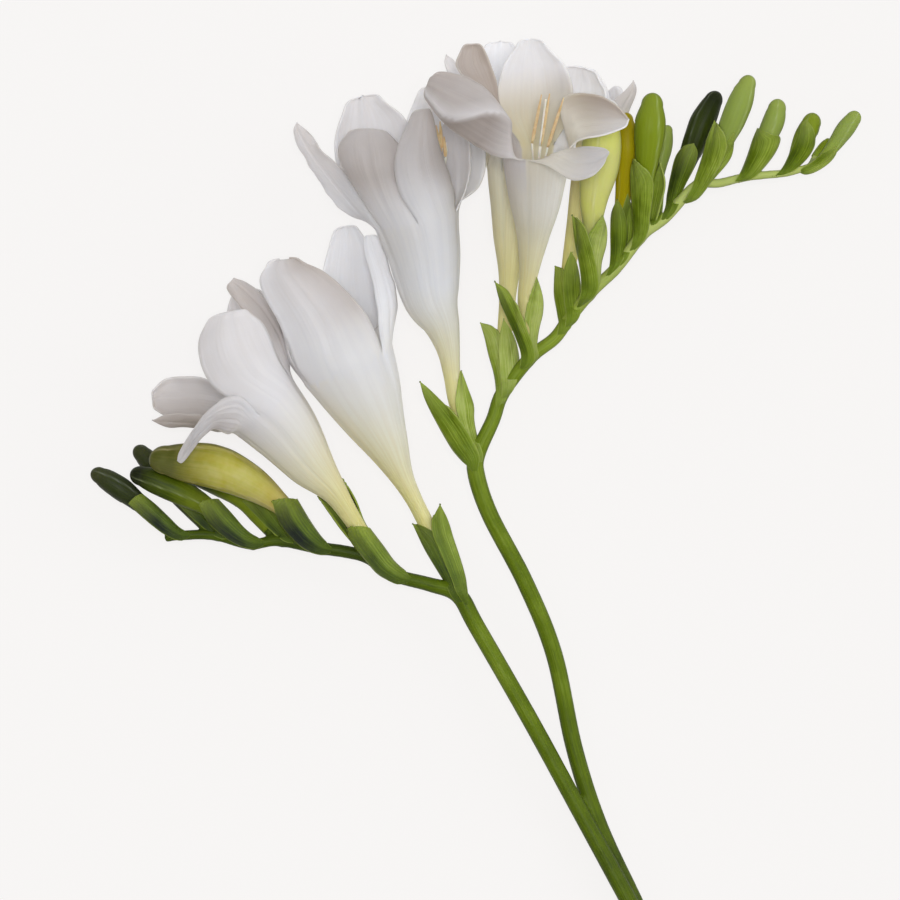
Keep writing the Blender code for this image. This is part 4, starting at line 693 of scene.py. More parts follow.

# The buds' finishes: the colour of the foot, the belly and the tip, and of the patches where it isn't the
# tip's. Tip_from is the share of the length at which the tip's colour begins, and foot_to where the foot's
# ends. The shaded finish is painted shade, and the deep, dusky and bright ones are partly the buds' own
# green and partly painted shade and light.
BUD_FINISHES = {
    "bud_deep_and_shaded": {
        "foot": (0.2, 0.26, 0.012), "belly": (0.052, 0.082, 0.002), "tip": (0.012, 0.015, 0.005),
        "foot_to": 0.25,
    },
    "bud_bright_and_lit": {"foot": (0.23, 0.32, 0.03), "belly": (0.18, 0.24, 0.005), "tip": (0.2, 0.26, 0.02)},
    "bud_pale": {"foot": (0.28, 0.37, 0.05), "belly": (0.235, 0.31, 0.065), "tip": (0.27, 0.34, 0.07)},
    "bud_shaded": {
        "foot": (0.05, 0.075, 0.002), "belly": (0.028, 0.042, 0.003), "tip": (0.015, 0.021, 0.005),
    },
    "bud_dusky_and_shaded": {"foot": (0.05, 0.07, 0.008), "belly": (0.024, 0.034, 0.009), "tip": (0.046, 0.052, 0.018)},
    "bud_olive": {
        "foot": (0.52, 0.4, 0.12), "belly": (0.4, 0.37, 0.032), "tip": (0.06, 0.07, 0.001),
        "patch": (0.66, 0.64, 0.34), "tip_from": 0.42,
    },
    "bud_lemon": {"foot": (0.58, 0.6, 0.24), "belly": (0.58, 0.58, 0.2), "tip": (0.58, 0.62, 0.09)},
    "bud_amber": {"foot": (0.46, 0.44, 0.008), "belly": (0.4, 0.33, 0.003), "tip": (0.34, 0.27, 0.003)},
}
# A bud that isn't named here is deep on the left spike and bright on the right: partly its own green and partly
# painted shade on the left and painted light on the right.
FINISH_OF = {
    "bud_01": "bud_olive", "bud_04": "bud_dusky_and_shaded", "bud_05": "bud_dusky_and_shaded", "bud_06": "bud_lemon",
    "bud_07": "bud_amber", "bud_09": "bud_pale", "bud_10": "bud_shaded", "bud_11": "bud_pale",
    "bud_12": "bud_pale", "bud_15": "bud_pale",
}


# ---------------------------------------------------------------- curves


def distances(points):
    """How far along a line each of its points lies."""
    return np.concatenate(([0], np.cumsum(np.linalg.norm(np.diff(points, axis=0), axis=1))))


def read_at(place, places, rows):
    """The row of numbers at a place between rows that stand at these places."""
    return np.array([np.interp(place, places, rows[:, i]) for i in range(rows.shape[1])])


def smooth(rows, steps):
    """Rows of numbers with a Catmull-Rom curve drawn through them, steps points to each span."""
    rows = np.array(rows, float)
    padded = np.vstack((2 * rows[0] - rows[1], rows, 2 * rows[-1] - rows[-2]))
    points = []
    for i in range(len(rows) - 1):
        a, b, c, d = padded[i : i + 4]
        for t in np.arange(steps) / steps:
            bend = 2 * a - 5 * b + 4 * c - d
            twist = 3 * b - a - 3 * c + d
            points.append(0.5 * (2 * b + (c - a) * t + bend * t**2 + twist * t**3))
    return np.array([*points, rows[-1]])


def unit(vector):
    return vector / np.linalg.norm(vector)


def ease(t):
    """0 below 0, 1 above 1, and a smooth step between."""
    t = min(max(t, 0.0), 1.0)
    return t * t * (3 - 2 * t)


ease_all = np.vectorize(ease)


def peak(place, width):
    """1 at 0, and down to almost nothing at twice the width on either side."""
    return math.exp(-((place / width) ** 2))


class Axis:
    """A smooth centreline with a radius, read by the distance along it in millimetres."""

    def __init__(self, rows, steps=10):
        points = smooth(rows, steps)
        self.points, self.radii = points[:, :3], np.maximum(points[:, 3], THINNEST)
        self.far = distances(self.points)
        self.length = self.far[-1]

    def at(self, far):
        return read_at(far, self.far, self.points)

    def radius(self, far):
        return float(np.interp(far, self.far, self.radii))

    def frame(self, far):
        """The direction along the line, the side that faces up, and the side at its right."""
        ahead, behind = min(far + HEADING_STEP, self.length), max(far - HEADING_STEP, 0)
        along = unit(self.at(ahead) - self.at(behind))
        upper = unit(UP - along.dot(UP) * along)
        return along, upper, np.cross(along, upper)

    def around(self, far, angle, out):
        """The point at an angle in degrees round the line, out millimetres from it."""
        _, upper, right = self.frame(far)
        turn = math.radians(angle)
        return self.at(far) + out * (math.cos(turn) * upper + math.sin(turn) * right)

    def ring(self, far, sides):
        """Points round the line at this distance, evenly spread."""
        return [self.around(far, 360 * side / sides, self.radius(far)) for side in range(sides)]

    def rings(self, sides, steps):
        """Closed rings of points from the line's start to its end."""
        rows = [self.ring(self.length * step / steps, sides) for step in range(steps + 1)]
        return [[*row, row[0]] for row in rows]


def seat_of(name):
    return SEATS.get(name, SEAT)


def layout_shift():
    """The layout's origin in the model's frame, in millimetres, from where the first bud's solid is."""
    axis = Axis(BUDS["bud_01"])
    start = seat_of("bud_01") + GAP
    points = [axis.at(start), axis.at(axis.length)]
    for ring in range(SOLID_BUD_RINGS):
        points.extend(axis.ring(start + (axis.length - start) * ring / SOLID_BUD_RINGS, SOLID_BUD_SIDES))
    low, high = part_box("bud_01")
    shift = np.array(low) / MM - np.min(points, axis=0)
    check = np.array(high) / MM - np.max(points, axis=0)
    if np.abs(shift - check).max() > SHIFT_TOLERANCE:
        raise ValueError(f"the first bud isn't the size that the tables say: {shift} {check}")
    return shift


SHIFT = layout_shift()


# ---------------------------------------------------------------- modelling


def deselect_all():
    bpy.ops.object.select_all(action="DESELECT")


def take(thing):
    """Makes this the only selected object, and the active one."""
    deselect_all()
    thing.select_set(True)
    bpy.context.view_layer.objects.active = thing


def write_mark(thing, label, values, kind="FLOAT"):
    """Keeps numbers for a mesh's points as an attribute."""
    layer = thing.data.attributes.new(label, kind, "POINT")
    layer.data.foreach_set("vector" if kind == "FLOAT_VECTOR" else "value", values.astype(np.float32).ravel())


def skin(name, rows, material=None, **marks):
    """A sheet through rows of points in layout millimetres, with its own UV map: U across and V along.

    Each mark is an array with a number for each point, kept as an attribute."""
    rows = np.array(rows, float)
    down, across = rows.shape[:2]
    deselect_all()
    bpy.ops.mesh.primitive_grid_add(x_subdivisions=across - 1, y_subdivisions=down - 1, size=1)
    thing = bpy.context.object
    thing.name = thing.data.name = name
    thing.data.vertices.foreach_set("co", ((rows + SHIFT) * MM).ravel())
    thing.data.update()
    for label, values in marks.items():
        write_mark(thing, label, np.broadcast_to(values, (down, across)))
    if material:
        thing.data.materials.append(material)
    return thing


def move_uv(thing, across, along):
    """Spreads a sheet's UV map over these ranges."""
    layer = thing.data.uv_layers.active.data
    uv = np.zeros(len(layer) * 2, np.float32)
    layer.foreach_get("uv", uv)
    uv = uv.reshape(-1, 2)
    for column, (low, high) in enumerate((across, along)):
        uv[:, column] = low + uv[:, column] * (high - low)
    layer.foreach_set("uv", uv.ravel())


def weld(thing):
    """Closes seams and poles."""
    take(thing)
    bpy.ops.object.mode_set(mode="EDIT")
    bpy.ops.mesh.select_all(action="SELECT")
    bpy.ops.mesh.remove_doubles(threshold=WELD_REACH)
    bpy.ops.object.mode_set(mode="OBJECT")


def joined(name, things):
    deselect_all()
    for thing in things:
        thing.select_set(True)
    bpy.context.view_layer.objects.active = things[0]
    bpy.ops.object.join()
    thing = bpy.context.object
    thing.name = thing.data.name = name
    return thing


def finish_with(thing, kind, **settings):
    """Adds a modifier and applies it."""
    take(thing)
    modifier = thing.modifiers.new(kind.lower(), kind)
    for key, value in settings.items():
        setattr(modifier, key, value)
    bpy.ops.object.modifier_apply(modifier=modifier.name)


def place(thing, slot, *nodes):
    """Hangs a finished piece on the part and lets it stand for its solid.

    Its flank attribute is 1 where the surface stands upright and 0 where it lies flat; the materials paint
    shade by it."""
    thing.data.polygons.foreach_set("use_smooth", np.ones(len(thing.data.polygons), bool))
    thing.data.update()
    normals = np.zeros(len(thing.data.vertices) * 3)
    thing.data.vertices.foreach_get("normal", normals)
    write_mark(thing, "flank", 1 - np.abs(normals[2::3]))
    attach(thing, "root")
    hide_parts(*nodes)
    return thing


def wobble(point, scale, seed):
    """Soft noise between about -1 and 1 at a point in millimetres."""
    return noise.noise(Vector(point / scale) + Vector((seed, 0, 0)))


def meet_mouth(rows, ring, shares, reach):
    """Draws a tepal's foot on to its arc of the mouth. The pull fades out by this share of its length."""
    rows = np.array(rows)
    gap = ring - rows[0]
    for row, t in enumerate(shares):
        rows[row] += gap * (1 - ease(t / reach))
    return rows


# ---------------------------------------------------------------- flowers


def hidden_rows(axis, angle, sheet, outer, ring, seed):
    """Rows of points of the free part of a tepal that stands behind others, drawn from its midrib."""
    width, tip = sheet["width"], sheet["tip"]
    mouth = axis.length
    foot = axis.around(mouth, angle, axis.radius(mouth))
    below = axis.around(mouth - MIDRIB_LEAD, angle, axis.radius(mouth - MIDRIB_LEAD))
    spine = smooth((below, foot, *sheet["midrib"]), MIDRIB_STEPS)[MIDRIB_STEPS:]
    normal = unit(foot - axis.at(mouth))
    far = distances(spine)
    share = far / far[-1]
    foot_width = axis.radius(mouth) * math.radians(TEPAL_STEP / 2)
    foot_bend = 1 / axis.radius(mouth)
    bend = math.radians(sheet["cup"]) / width
    frames = []
    for i in range(len(spine)):
        along = unit(spine[min(i + 1, len(spine) - 1)] - spine[max(i - 1, 0)])
        normal = unit(normal - normal.dot(along) * along)
        frames.append((*along, *normal))
    frames = np.array(frames)
    shares = [math.sin(math.pi / 2 * row / PETAL_ROWS) for row in range(PETAL_ROWS + 1)]
    rows = []
    for t in shares:
        at = read_at(t, share, spine)
        heading = read_at(t, share, frames)
        along, normal = unit(heading[:3]), unit(heading[3:])
        side = np.cross(along, normal)
        stand = (OVERLAP_STEP if outer else -OVERLAP_STEP) * ease(t / 0.25)
        if t < WIDEST:
            half = foot_width + (width - foot_width) * ease(t / WIDEST)
        else:
            half = width * max(1 - ((t - WIDEST) / (1 - WIDEST)) ** 2, 0) ** tip
        curve = foot_bend + (bend - foot_bend) * ease(t / WIDEST)
        points = []
        for column in range(PETAL_COLUMNS + 1):
            u = 2 * column / PETAL_COLUMNS - 1
            across = u * half
            bow = across * curve
            here = at + across * side
            edge = max((abs(u) - HIDDEN_RIM_FROM) / HIDDEN_RIM_WIDTH, 0.0)
            lift = stand + HIDDEN_CURL * edge**2 * ease(t / 0.5) * (1 if outer else INNER_CURL)
            lift += RUFFLE * abs(u) ** 3 * ease(t / 0.4) * wobble(here, HIDDEN_RUFFLE_SIZE, seed + RUFFLE_SEED)
            lift += HIDDEN_WAVE * ease(t / 0.3) * wobble(here, HIDDEN_WAVE_SIZE, seed)
            lift -= HIDDEN_MIDRIB_DEPTH * peak(u, HIDDEN_MIDRIB_WIDTH) * ease(t / 0.2) * (1 - t) ** 0.5
            points.append(at + math.sin(bow) / curve * side + (lift - (1 - math.cos(bow)) / curve) * normal)
        rows.append(points)
    rows = meet_mouth(rows, ring, shares, HIDDEN_MOUTH_REACH)
    rows[-1] = rows[-1].mean(axis=0)
    return rows


def along_edge(points, share):
    """The point at a share of the length of a smooth edge through these points."""
    far = distances(points)
    return read_at(share * far[-1], far, points)


def ridge_at(sheet, t):
    """Where a folded tepal's ridge lies across it, from -1 to 1, at a share of its length."""
    foot, tip = sheet.get("ridge", (0.0, 0.0))
    return foot + (tip - foot) * ease((t - RIDGE_FROM) / RIDGE_LENGTH)


def round_tip(first, second):
    """The two edges, each with one more point beside the tip, so that they meet there in a round end."""
    tip, a, b = (np.array(point) for point in (first[-1], first[-2], second[-2]))
    across = unit(a - b)
    near = [
        tip + TIP_SPREAD * (end - tip).dot(across) * across + TIP_SHORTENING * (end - tip) for end in (a, b)
    ]
    return (*first[:-1], tuple(near[0]), first[-1]), (*second[:-1], tuple(near[1]), second[-1])


def sheet_rows(sheet, ring, seed):
    """Rows of points of a tepal's free part between its two edges, from its arc of the mouth to its tip."""
    first, second = sheet["edges"]
    pointed = sheet.get("pointed")
    if not pointed:
        first, second = round_tip(first, second)
    first, second = smooth(first, EDGE_STEPS), smooth(second, EDGE_STEPS)
    camber, fold = sheet.get("camber", 0.3), sheet.get("fold", 0.0)
    ruffle, curl = sheet.get("ruffle", RUFFLE), sheet.get("curl", 0.3)
    ribs, crease = sheet.get("ribs", 0.0), sheet.get("crease", 0.0)
    end = 1.0
    while not pointed and np.linalg.norm(along_edge(first, end) - along_edge(second, end)) < TIP_WIDTH:
        end -= TIP_STEP
    shares = [end * (1 - (1 - row / PETAL_ROWS) ** TIP_CROWDING) for row in range(PETAL_ROWS + 1)]
    centres = np.array([(along_edge(first, t) + along_edge(second, t)) / 2 for t in shares])
    length = np.linalg.norm(centres[-1] - centres[0])
    rows = []
    for row, t in enumerate(shares):
        a, b = along_edge(first, t), along_edge(second, t)
        half = (b - a) / 2
        width = np.linalg.norm(half)
        along = unit(centres[min(row + 1, PETAL_ROWS)] - centres[max(row - 1, 0)])
        if width > THINNEST and (t < TIP_FROM or pointed):
            normal = unit(np.cross(half, along))
        ridge = ridge_at(sheet, t)
        bulge = min(width, (1 - t) * length)
        full = ease(bulge / RELIEF_WIDTH)
        points = []
        for column in range(PETAL_COLUMNS + 1):
            u = 2 * column / PETAL_COLUMNS - 1
            here = (a + b) / 2 + u * half
            edge = max((abs(u) - RIM_FROM) / RIM_WIDTH, 0.0)
            lift = camber * bulge * (1 - u * u) - curl * edge**2 * ease(t / 0.4) * full
            waves = wobble(here, RUFFLE_SIZE, seed + RUFFLE_SEED) * RUFFLE_GAIN
            lift += ruffle * abs(u) ** 3 * ease(t / 0.4) * full * waves
            lift += WAVE * ease(t / 0.3) * full * wobble(here, WAVE_SIZE, seed)
            lift -= MIDRIB_DEPTH * peak(u, MIDRIB_WIDTH) * ease(t / 0.2) * full
            lift += ribs * math.sin(u * RIB_RATE) * (1 - t) * full
            beside = abs(u - ridge) / (1 - ridge if u > ridge else 1 + ridge)
            lift += fold * bulge * (1 - beside) * ease(t / 0.3)
            lift -= crease * peak(u - CREASE_AT, CREASE_WIDTH) * ease((t - CREASE_FROM) / 0.3) * full
            points.append(here + lift * normal)
        rows.append(points)
    rows = meet_mouth(rows, ring, shares, MOUTH_REACH)
    if pointed:
        rows[-1] = rows[-1].mean(axis=0)
    return rows


def tube_rows(axis, start, arcs, seed):
    """Rings of points of a flower's tube, from its foot to its mouth, grooved where two tepals meet."""
    places = [
        (arcs[k] + (arcs[k + 1] - arcs[k]) * column / PETAL_COLUMNS, column / PETAL_COLUMNS)
        for k in range(TEPALS)
        for column in range(PETAL_COLUMNS)
    ]
    rows = [[axis.at(start)] * (len(places) + 1)]
    for step in range(TUBE_ROWS + 1):
        share = step / TUBE_ROWS
        far = start + (axis.length - start) * share
        row = []
        for angle, across in places:
            groove = -peak(min(across, 1 - across), GROOVE_WIDTH)
            out = axis.radius(far) * (1 + GROOVE_DEPTH * ease(share * 1.4) * groove)
            turn = angle + TUBE_TWIST * (1 - share)
            out += TUBE_WAVE * ease(share) * wobble(axis.around(far, turn, out), TUBE_WAVE_SIZE, seed)
            row.append(axis.around(far, turn, out))
        rows.append([*row, row[0]])
    return np.array(rows)


def tube_marks(axis, start, rows, drawn, corners, yellow):
    """The tone and the yellow of each point of a flower's tube. The tone is painted shade and light, running
    from the tube's left side to its right.
    """
    centres = rows[:, :-1].mean(axis=1, keepdims=True)
    heading = unit((axis.at(axis.length) - axis.at(start)) * (1, 1, 0))
    side = (rows - centres) @ np.array((heading[1], -heading[0], 0))
    side = side / (np.abs(side).max(axis=1, keepdims=True) + 1e-6)
    # Painted shade and light: the tube's tone runs from its left side to its right.
    left, right = drawn["tones"][0]
    tone = left + (right - left) * (0.5 + 0.5 * side)
    feet, inner = [], []
    for sheet, corner in zip(drawn["sheets"], corners, strict=True):
        inner.extend([sheet.get("inside", 0.0)] * PETAL_COLUMNS)
        feet.extend(np.linspace(*corner[:2], PETAL_COLUMNS, endpoint=False))
    share = np.arange(len(rows)) / len(rows)
    nearness = MOUTH_BLEND * ease_all((share - MOUTH_FROM) / MOUTH_LENGTH)[:, None]
    tone = tone * (1 - nearness) + np.array([*feet, feet[0]])[None] * nearness
    # Warm adds yellow on the tube's left side, a painted warm shade there.
    cream = np.array(yellow)[:, None] + drawn.get("warm", 0.0) * (0.5 - 0.5 * side)
    throat = drawn.get("throat", 0.0) * np.array([*inner, inner[0]])[None]
    return tone, cream + throat * (nearness / MOUTH_BLEND) ** 2


def tepal_marks(sheet, drawn, corner, arc_tone, last_yellow):
    """The tone, yellow and coolness of each point of a tepal, which begins in its arc's tone. The tone is
    painted shade and light, with painted shade beyond a fold's ridge and a painted highlight in a band along
    it.
    """
    up = np.linspace(0, 1, PETAL_ROWS + 1)[:, None]
    over = np.linspace(0, 1, PETAL_COLUMNS + 1)[None]
    entered = ease_all(up / 0.35)
    risen = ease_all(up / sheet["rise"]) if "rise" in sheet else up
    own = (corner[0] * (1 - over) + corner[1] * over) * (1 - risen)
    own = own + (corner[2] * (1 - over) + corner[3] * over) * risen
    tone = arc_tone * (1 - entered) + own * entered
    cream = (last_yellow + 0.4 * drawn.get("warm", 0.0)) * (1 - np.clip(2.2 * up, 0, 1))
    cream = cream + drawn.get("throat", 0.0) * sheet.get("inside", 0.0) * (1 - np.clip(1.8 * up, 0, 1))
    shares = 1 - (1 - up[:, 0]) ** TIP_CROWDING
    ridge = 0.5 + 0.5 * np.array([ridge_at(sheet, t) for t in shares])[:, None]
    # Painted shade beyond a fold's ridge, and a painted highlight in a band along it.
    lower, ridge_highlight = sheet.get("fold_shading", (0.0, 0.0))
    tone = tone + lower * np.clip((over - ridge) * 14, 0, 1) * np.clip(4 * up - 0.4, 0, 1)
    tone = tone + ridge_highlight * np.clip(1 - (ridge - over) / 0.3, 0, 1) * (over <= ridge) * entered
    return {"tone": tone, "cream": cream, "cool": sheet.get("cool", 0.0)}


def flower(name, material, seed):
    """The fused tube with its six tepals."""
    axis = Axis(FLOWERS[name])
    drawn = SHEETS[name]
    arcs = (*drawn["arcs"], drawn["arcs"][0] + 360)
    corners = [tone if isinstance(tone, tuple) else (tone,) * 4 for tone in drawn["tones"][1:]]
    start = seat_of(name) - TUBE_SINK
    rows = tube_rows(axis, start, arcs, seed)
    yellow = [max(1 - ring / (drawn["cream"] * len(rows)), 0) for ring in range(len(rows))]
    tone, cream = tube_marks(axis, start, rows, drawn, corners, yellow)
    tube_share = axis.length / (axis.length + TEPAL_LENGTH)
    tube = skin("tube", rows, material, tone=tone, cream=cream, cool=0.0)
    move_uv(tube, (0, TEPALS), (0, tube_share))
    pieces = [tube]
    for k, sheet in enumerate(drawn["sheets"]):
        arc = slice(k * PETAL_COLUMNS, (k + 1) * PETAL_COLUMNS + 1)
        ring = rows[-1][arc]
        if "edges" in sheet:
            made = sheet_rows(sheet, ring, seed + 3 * k)
        else:
            made = hidden_rows(axis, (arcs[k] + arcs[k + 1]) / 2, sheet, k % 2 == 0, ring, seed + 3 * k)
        marks = tepal_marks(sheet, drawn, corners[k], tone[-1, arc][None], yellow[-1])
        tepal = skin("tepal", made, material, **marks)
        move_uv(tepal, (k, k + 1), (tube_share, 1))
        pieces.append(tepal)
    thing = joined(f"{name}_petals", pieces)
    weld(thing)
    finish_with(thing, "SOLIDIFY", thickness=PETAL_WALL * MM, offset=-1)
    return place(thing, "petal_white", name)


def closed_skin(name, rows, foot, tip, material, **marks):
    """A skin with a pole at each end."""
    count = len(rows[0])
    thing = skin(name, [[foot] * count, *rows, [tip] * count], material, **marks)
    weld(thing)
    return thing


def strand(rows, sides, steps, material):
    """A thin round strand along rows of (x, y, z, radius)."""
    axis = Axis(rows)
    return closed_skin("strand", axis.rings(sides, steps), axis.at(0), axis.at(axis.length), material)


def anther(foot, tip, material):
    """A pollen sac pair: a long body with a groove down its face and a shallow one down its back."""
    reach = tip - foot
    line = Axis(((*foot, 0.2), (*(foot + 0.12 * reach), 0.34), (*(foot + 0.6 * reach), 0.32), (*tip, 0.12)))
    rows = []
    for ring in range(ANTHER_ROWS + 1):
        far = line.length * ring / ANTHER_ROWS
        row = []
        for side in range(ANTHER_SIDES):
            angle = 360 * side / ANTHER_SIDES
            groove = 1 - FACE_GROOVE * peak((angle + 180) % 360 - 180, FACE_GROOVE_ANGLE)
            back = 1 - BACK_GROOVE * peak(angle % 360 - 180, BACK_GROOVE_ANGLE)
            row.append(line.around(far, angle, line.radius(far) * groove * back))
        rows.append([*row, row[0]])
    return closed_skin("anther", rows, line.at(0), line.at(line.length), material)


def stamens(name, filament, gold):
    """The filaments with their anthers round the style, standing in the tube."""
    axis = Axis(FLOWERS[name])
    low, middle = (axis.at(axis.length * share) for share in FILAMENT_PLACES)
    parts = []
    for k, line in enumerate(STAMEN_LINES[name]):
        foot, tip = np.array(line[0]), np.array(line[1])
        rows = ((*low, FILAMENT_RADIUS), (*middle, FILAMENT_RADIUS), (*foot, FILAMENT_RADIUS))
        parts.append(strand(rows, STRAND_SIDES, 14, filament))
        if k < ANTHERS:
            parts.append(anther(foot, tip, gold))
        else:
            rows = ((*foot, FILAMENT_RADIUS), (*((foot + tip) / 2), FILAMENT_RADIUS), (*tip, STIGMA_RADIUS))
            parts.append(strand(rows, STRAND_SIDES, 8, filament))
    thing = joined(f"{name}_stamen_set", parts)
    return place(thing, "stamen_gold", f"{name}_stamens")


# ---------------------------------------------------------------- buds and bracts


def bud(name, slot, material, seed):
    """A closed bud: three folded tepals lie round it, each with one edge over the next."""
    axis = Axis(BUDS[name])
    start = seat_of(name) - BUD_SINK
    cap = CAP_LEAST
    while cap < CAP_SHAPE * axis.radius(axis.length - cap):
        cap += CAP_STEP
    rows, seams = [], [[0.0] * (BUD_COLUMNS + 1)]
    for ring in range(BUD_ROWS):
        share = math.sin(math.pi / 2 * ring / BUD_ROWS)
        far = start + (axis.length - start) * share
        beyond = max(far - axis.length + cap, 0) / cap
        radius = axis.radius(min(far, axis.length - cap)) * math.sqrt(1 - beyond**2)
        row, seam = [], []
        for side in range(BUD_COLUMNS):
            angle = 360 * side / BUD_COLUMNS
            fold = ((angle + FOLD_TWIST * share + FOLD_TURN * seed) / FOLD_STEP) % 1
            lip = LIP * math.exp(-fold / LIP_WIDTH) - DIP * math.exp(-(1 - fold) / DIP_WIDTH)
            keel = BUD_KEEL * math.cos(2 * math.pi * (fold - 0.5))
            out = radius * (1 + (lip + keel) * ease(share / 0.25))
            out += BUD_WAVE * wobble(axis.around(far, angle, radius), BUD_WAVE_SIZE, seed)
            row.append(axis.around(far, angle, out))
            seam.append(math.exp(-fold / SEAM_AFTER) + math.exp(-(1 - fold) / SEAM_BEFORE))
        rows.append([*row, row[0]])
        seams.append([*seam, seam[0]])
    seams.append([0.0] * (BUD_COLUMNS + 1))
    foot, tip = axis.at(start), axis.at(axis.length)
    return place(closed_skin(f"{name}_body", rows, foot, tip, material, seam=np.array(seams)), slot, name)


def nearest_bar(point):
    """The stem or side branch, whichever passes closer to a point."""
    bars = [Axis(line) for line in (MAIN_STEM, SIDE_BRANCH)]
    return min(bars, key=lambda line: np.linalg.norm(line.points - point, axis=1).min())


def sheath_axis(rows):
    """The line of a floret's stalk: it leaves the stem below the node and runs on along the floret."""
    node_point = np.array(rows[0][:3])
    bar = nearest_bar(node_point)
    far = bar.far[np.linalg.norm(bar.points - node_point, axis=1).argmin()]
    lead = [(*bar.at(far - back), bar.radius(far - back)) for back in (SHEATH_LEAD, SHEATH_LEAD / 2)]
    return Axis((*lead, *rows))


def leaf(rows, drawn, seed):
    """A bract between its two edges: it comes out of the stem, clasps the floret and ends in its tip."""
    first, second = (smooth([(*at, 0.0) for at in edge], EDGE_STEPS) for edge in drawn["edges"])
    face, over = drawn.get("face", 1), drawn.get("over", 0.0)
    lean, bow = drawn.get("lean", 0.0), drawn.get("bow", 0.0)
    axis = Axis(rows)
    bar = nearest_bar(axis.points[0])
    made = []
    for i in range(BRACT_ROWS + 1):
        t = math.sin(math.pi / 2 * i / BRACT_ROWS)
        a, b = along_edge(first, t), along_edge(second, t)
        half = (b - a) / 2 * (FOOT_WIDTH + (1 - FOOT_WIDTH) * ease(t / 0.2))
        centre = (a + b) / 2
        inner = bar.points[np.linalg.norm(bar.points[:, :2] - centre[:2], axis=1).argmin()]
        centre[:2] += FOOT_PULL * (1 - ease(t / 0.14)) * (inner - centre)[:2]
        width = np.linalg.norm(half)
        along = unit(np.array((-half[1], half[0], 0)) + 1e-9)
        clearance = (LEAF_LIFT + over) * ease(t / 0.2) - FOOT_SINK
        points = []
        for column in range(BRACT_COLUMNS + 1):
            u = 2 * column / BRACT_COLUMNS - 1
            here = centre + u * half + along * bow * (1 - u * u) * ease(t * 2 - 1)
            height = 0.0
            for line, reach in ((axis, 1.0), (bar, BAR_CLASP)):
                away = np.linalg.norm(line.points[:, :2] - here[:2], axis=1)
                near = away.argmin()
                if line is axis:
                    middle = line.points[near, 2]
                if t <= reach:
                    cover = math.sqrt(max((line.radii[near] + clearance) ** 2 - away[near] ** 2, 0))
                    height = max(height, cover + face * (line.points[near, 2] - middle))
            belly = width * (0.95 - 0.45 * t) * (1 - u * u) ** (0.5 + 0.4 * t) * ease(t / 0.16)
            height = max(height, belly) + over * ease(t / 0.3)
            height += KEEL_HEIGHT * peak(u, KEEL_WIDTH) * ease(t * 3) * (1 - t) + lean * t * t
            height += LEAF_WAVE * ease(t * 3) * wobble(here, LEAF_WAVE_SIZE, seed)
            points.append((here[0], here[1], max(middle + face * height, BRACT_CLEAR)))
        made.append(points)
    if not bow:
        made[-1] = [np.mean(made[-1], axis=0)] * (BRACT_COLUMNS + 1)
    return made


def bract(node, rows, material, seed):
    """The piece for one bract. Its tone changes at its keel: partly its own green, partly painted shade on the
    half that turns from the light.
    """
    left, right = LEAVES[node]["tones"]
    # Partly painted shade: the half that turns from the light takes the deeper tone.
    tone = left + (right - left) * np.clip(np.linspace(*KEEL_STEP, BRACT_COLUMNS + 1), 0, 1)
    thing = skin(f"{node}_leaf", leaf(rows, LEAVES[node], seed), material, tone=tone[None])
    weld(thing)
    finish_with(thing, "SOLIDIFY", thickness=BRACT_WALL * MM, offset=-1)
    return place(thing, "bract_green", node)


# ---------------------------------------------------------------- stem


def stem(material, end_material):
    """The forked stem with a stalk under each floret, in one skin, cut flat at its foot."""
    bars = []
    for rows in (MAIN_STEM, SIDE_BRANCH):
        axis = Axis(rows)
        made = axis.rings(STEM_COLUMNS, round(axis.length / STEM_RING_SPACING))
        if rows is MAIN_STEM:
            along = axis.frame(0)[0]
            made.insert(0, [np.array(point) - CUT_SPARE * along for point in made[0]])
        bars.append(closed_skin("bar", made, np.mean(made[0][:-1], axis=0), axis.at(axis.length), material))
    for name, floret_rows in FLORETS.items():
        axis = sheath_axis(floret_rows)
        places = np.linspace(0, SHEATH_LEAD + seat_of(name), STALK_POINTS)
        rows = [(*axis.at(far), axis.radius(far) * STALK_SHARE) for far in places]
        bars.append(strand(rows, STALK_SIDES, STALK_RINGS, material))
    thing = joined("stem_and_stalks", bars)
    finish_with(thing, "REMESH", mode="VOXEL", voxel_size=STEM_VOXEL * MM)
    finish_with(thing, "SMOOTH", factor=0.5, iterations=10)
    axis = Axis(MAIN_STEM)
    along = axis.frame(0)[0]
    take(thing)
    bpy.ops.object.mode_set(mode="EDIT")
    bpy.ops.mesh.select_all(action="SELECT")
    bpy.ops.mesh.bisect(
        plane_co=tuple((axis.at(0) + SHIFT) * MM), plane_no=tuple(along), use_fill=True, clear_inner=True
    )
    bpy.ops.object.mode_set(mode="OBJECT")
    trace_stem(thing)
    thing.data.materials.clear()
    thing.data.materials.append(material)
    thing.data.materials.append(end_material)
    for face in thing.data.polygons:
        at_cut = np.dot((np.array(face.center) / MM - SHIFT) - axis.at(0), along) < CUT_DEPTH
        if at_cut and abs(np.dot(np.array(face.normal), along)) > CUT_FACING:
            face.material_index = 1
    return place(thing, "stem_green", "stem")


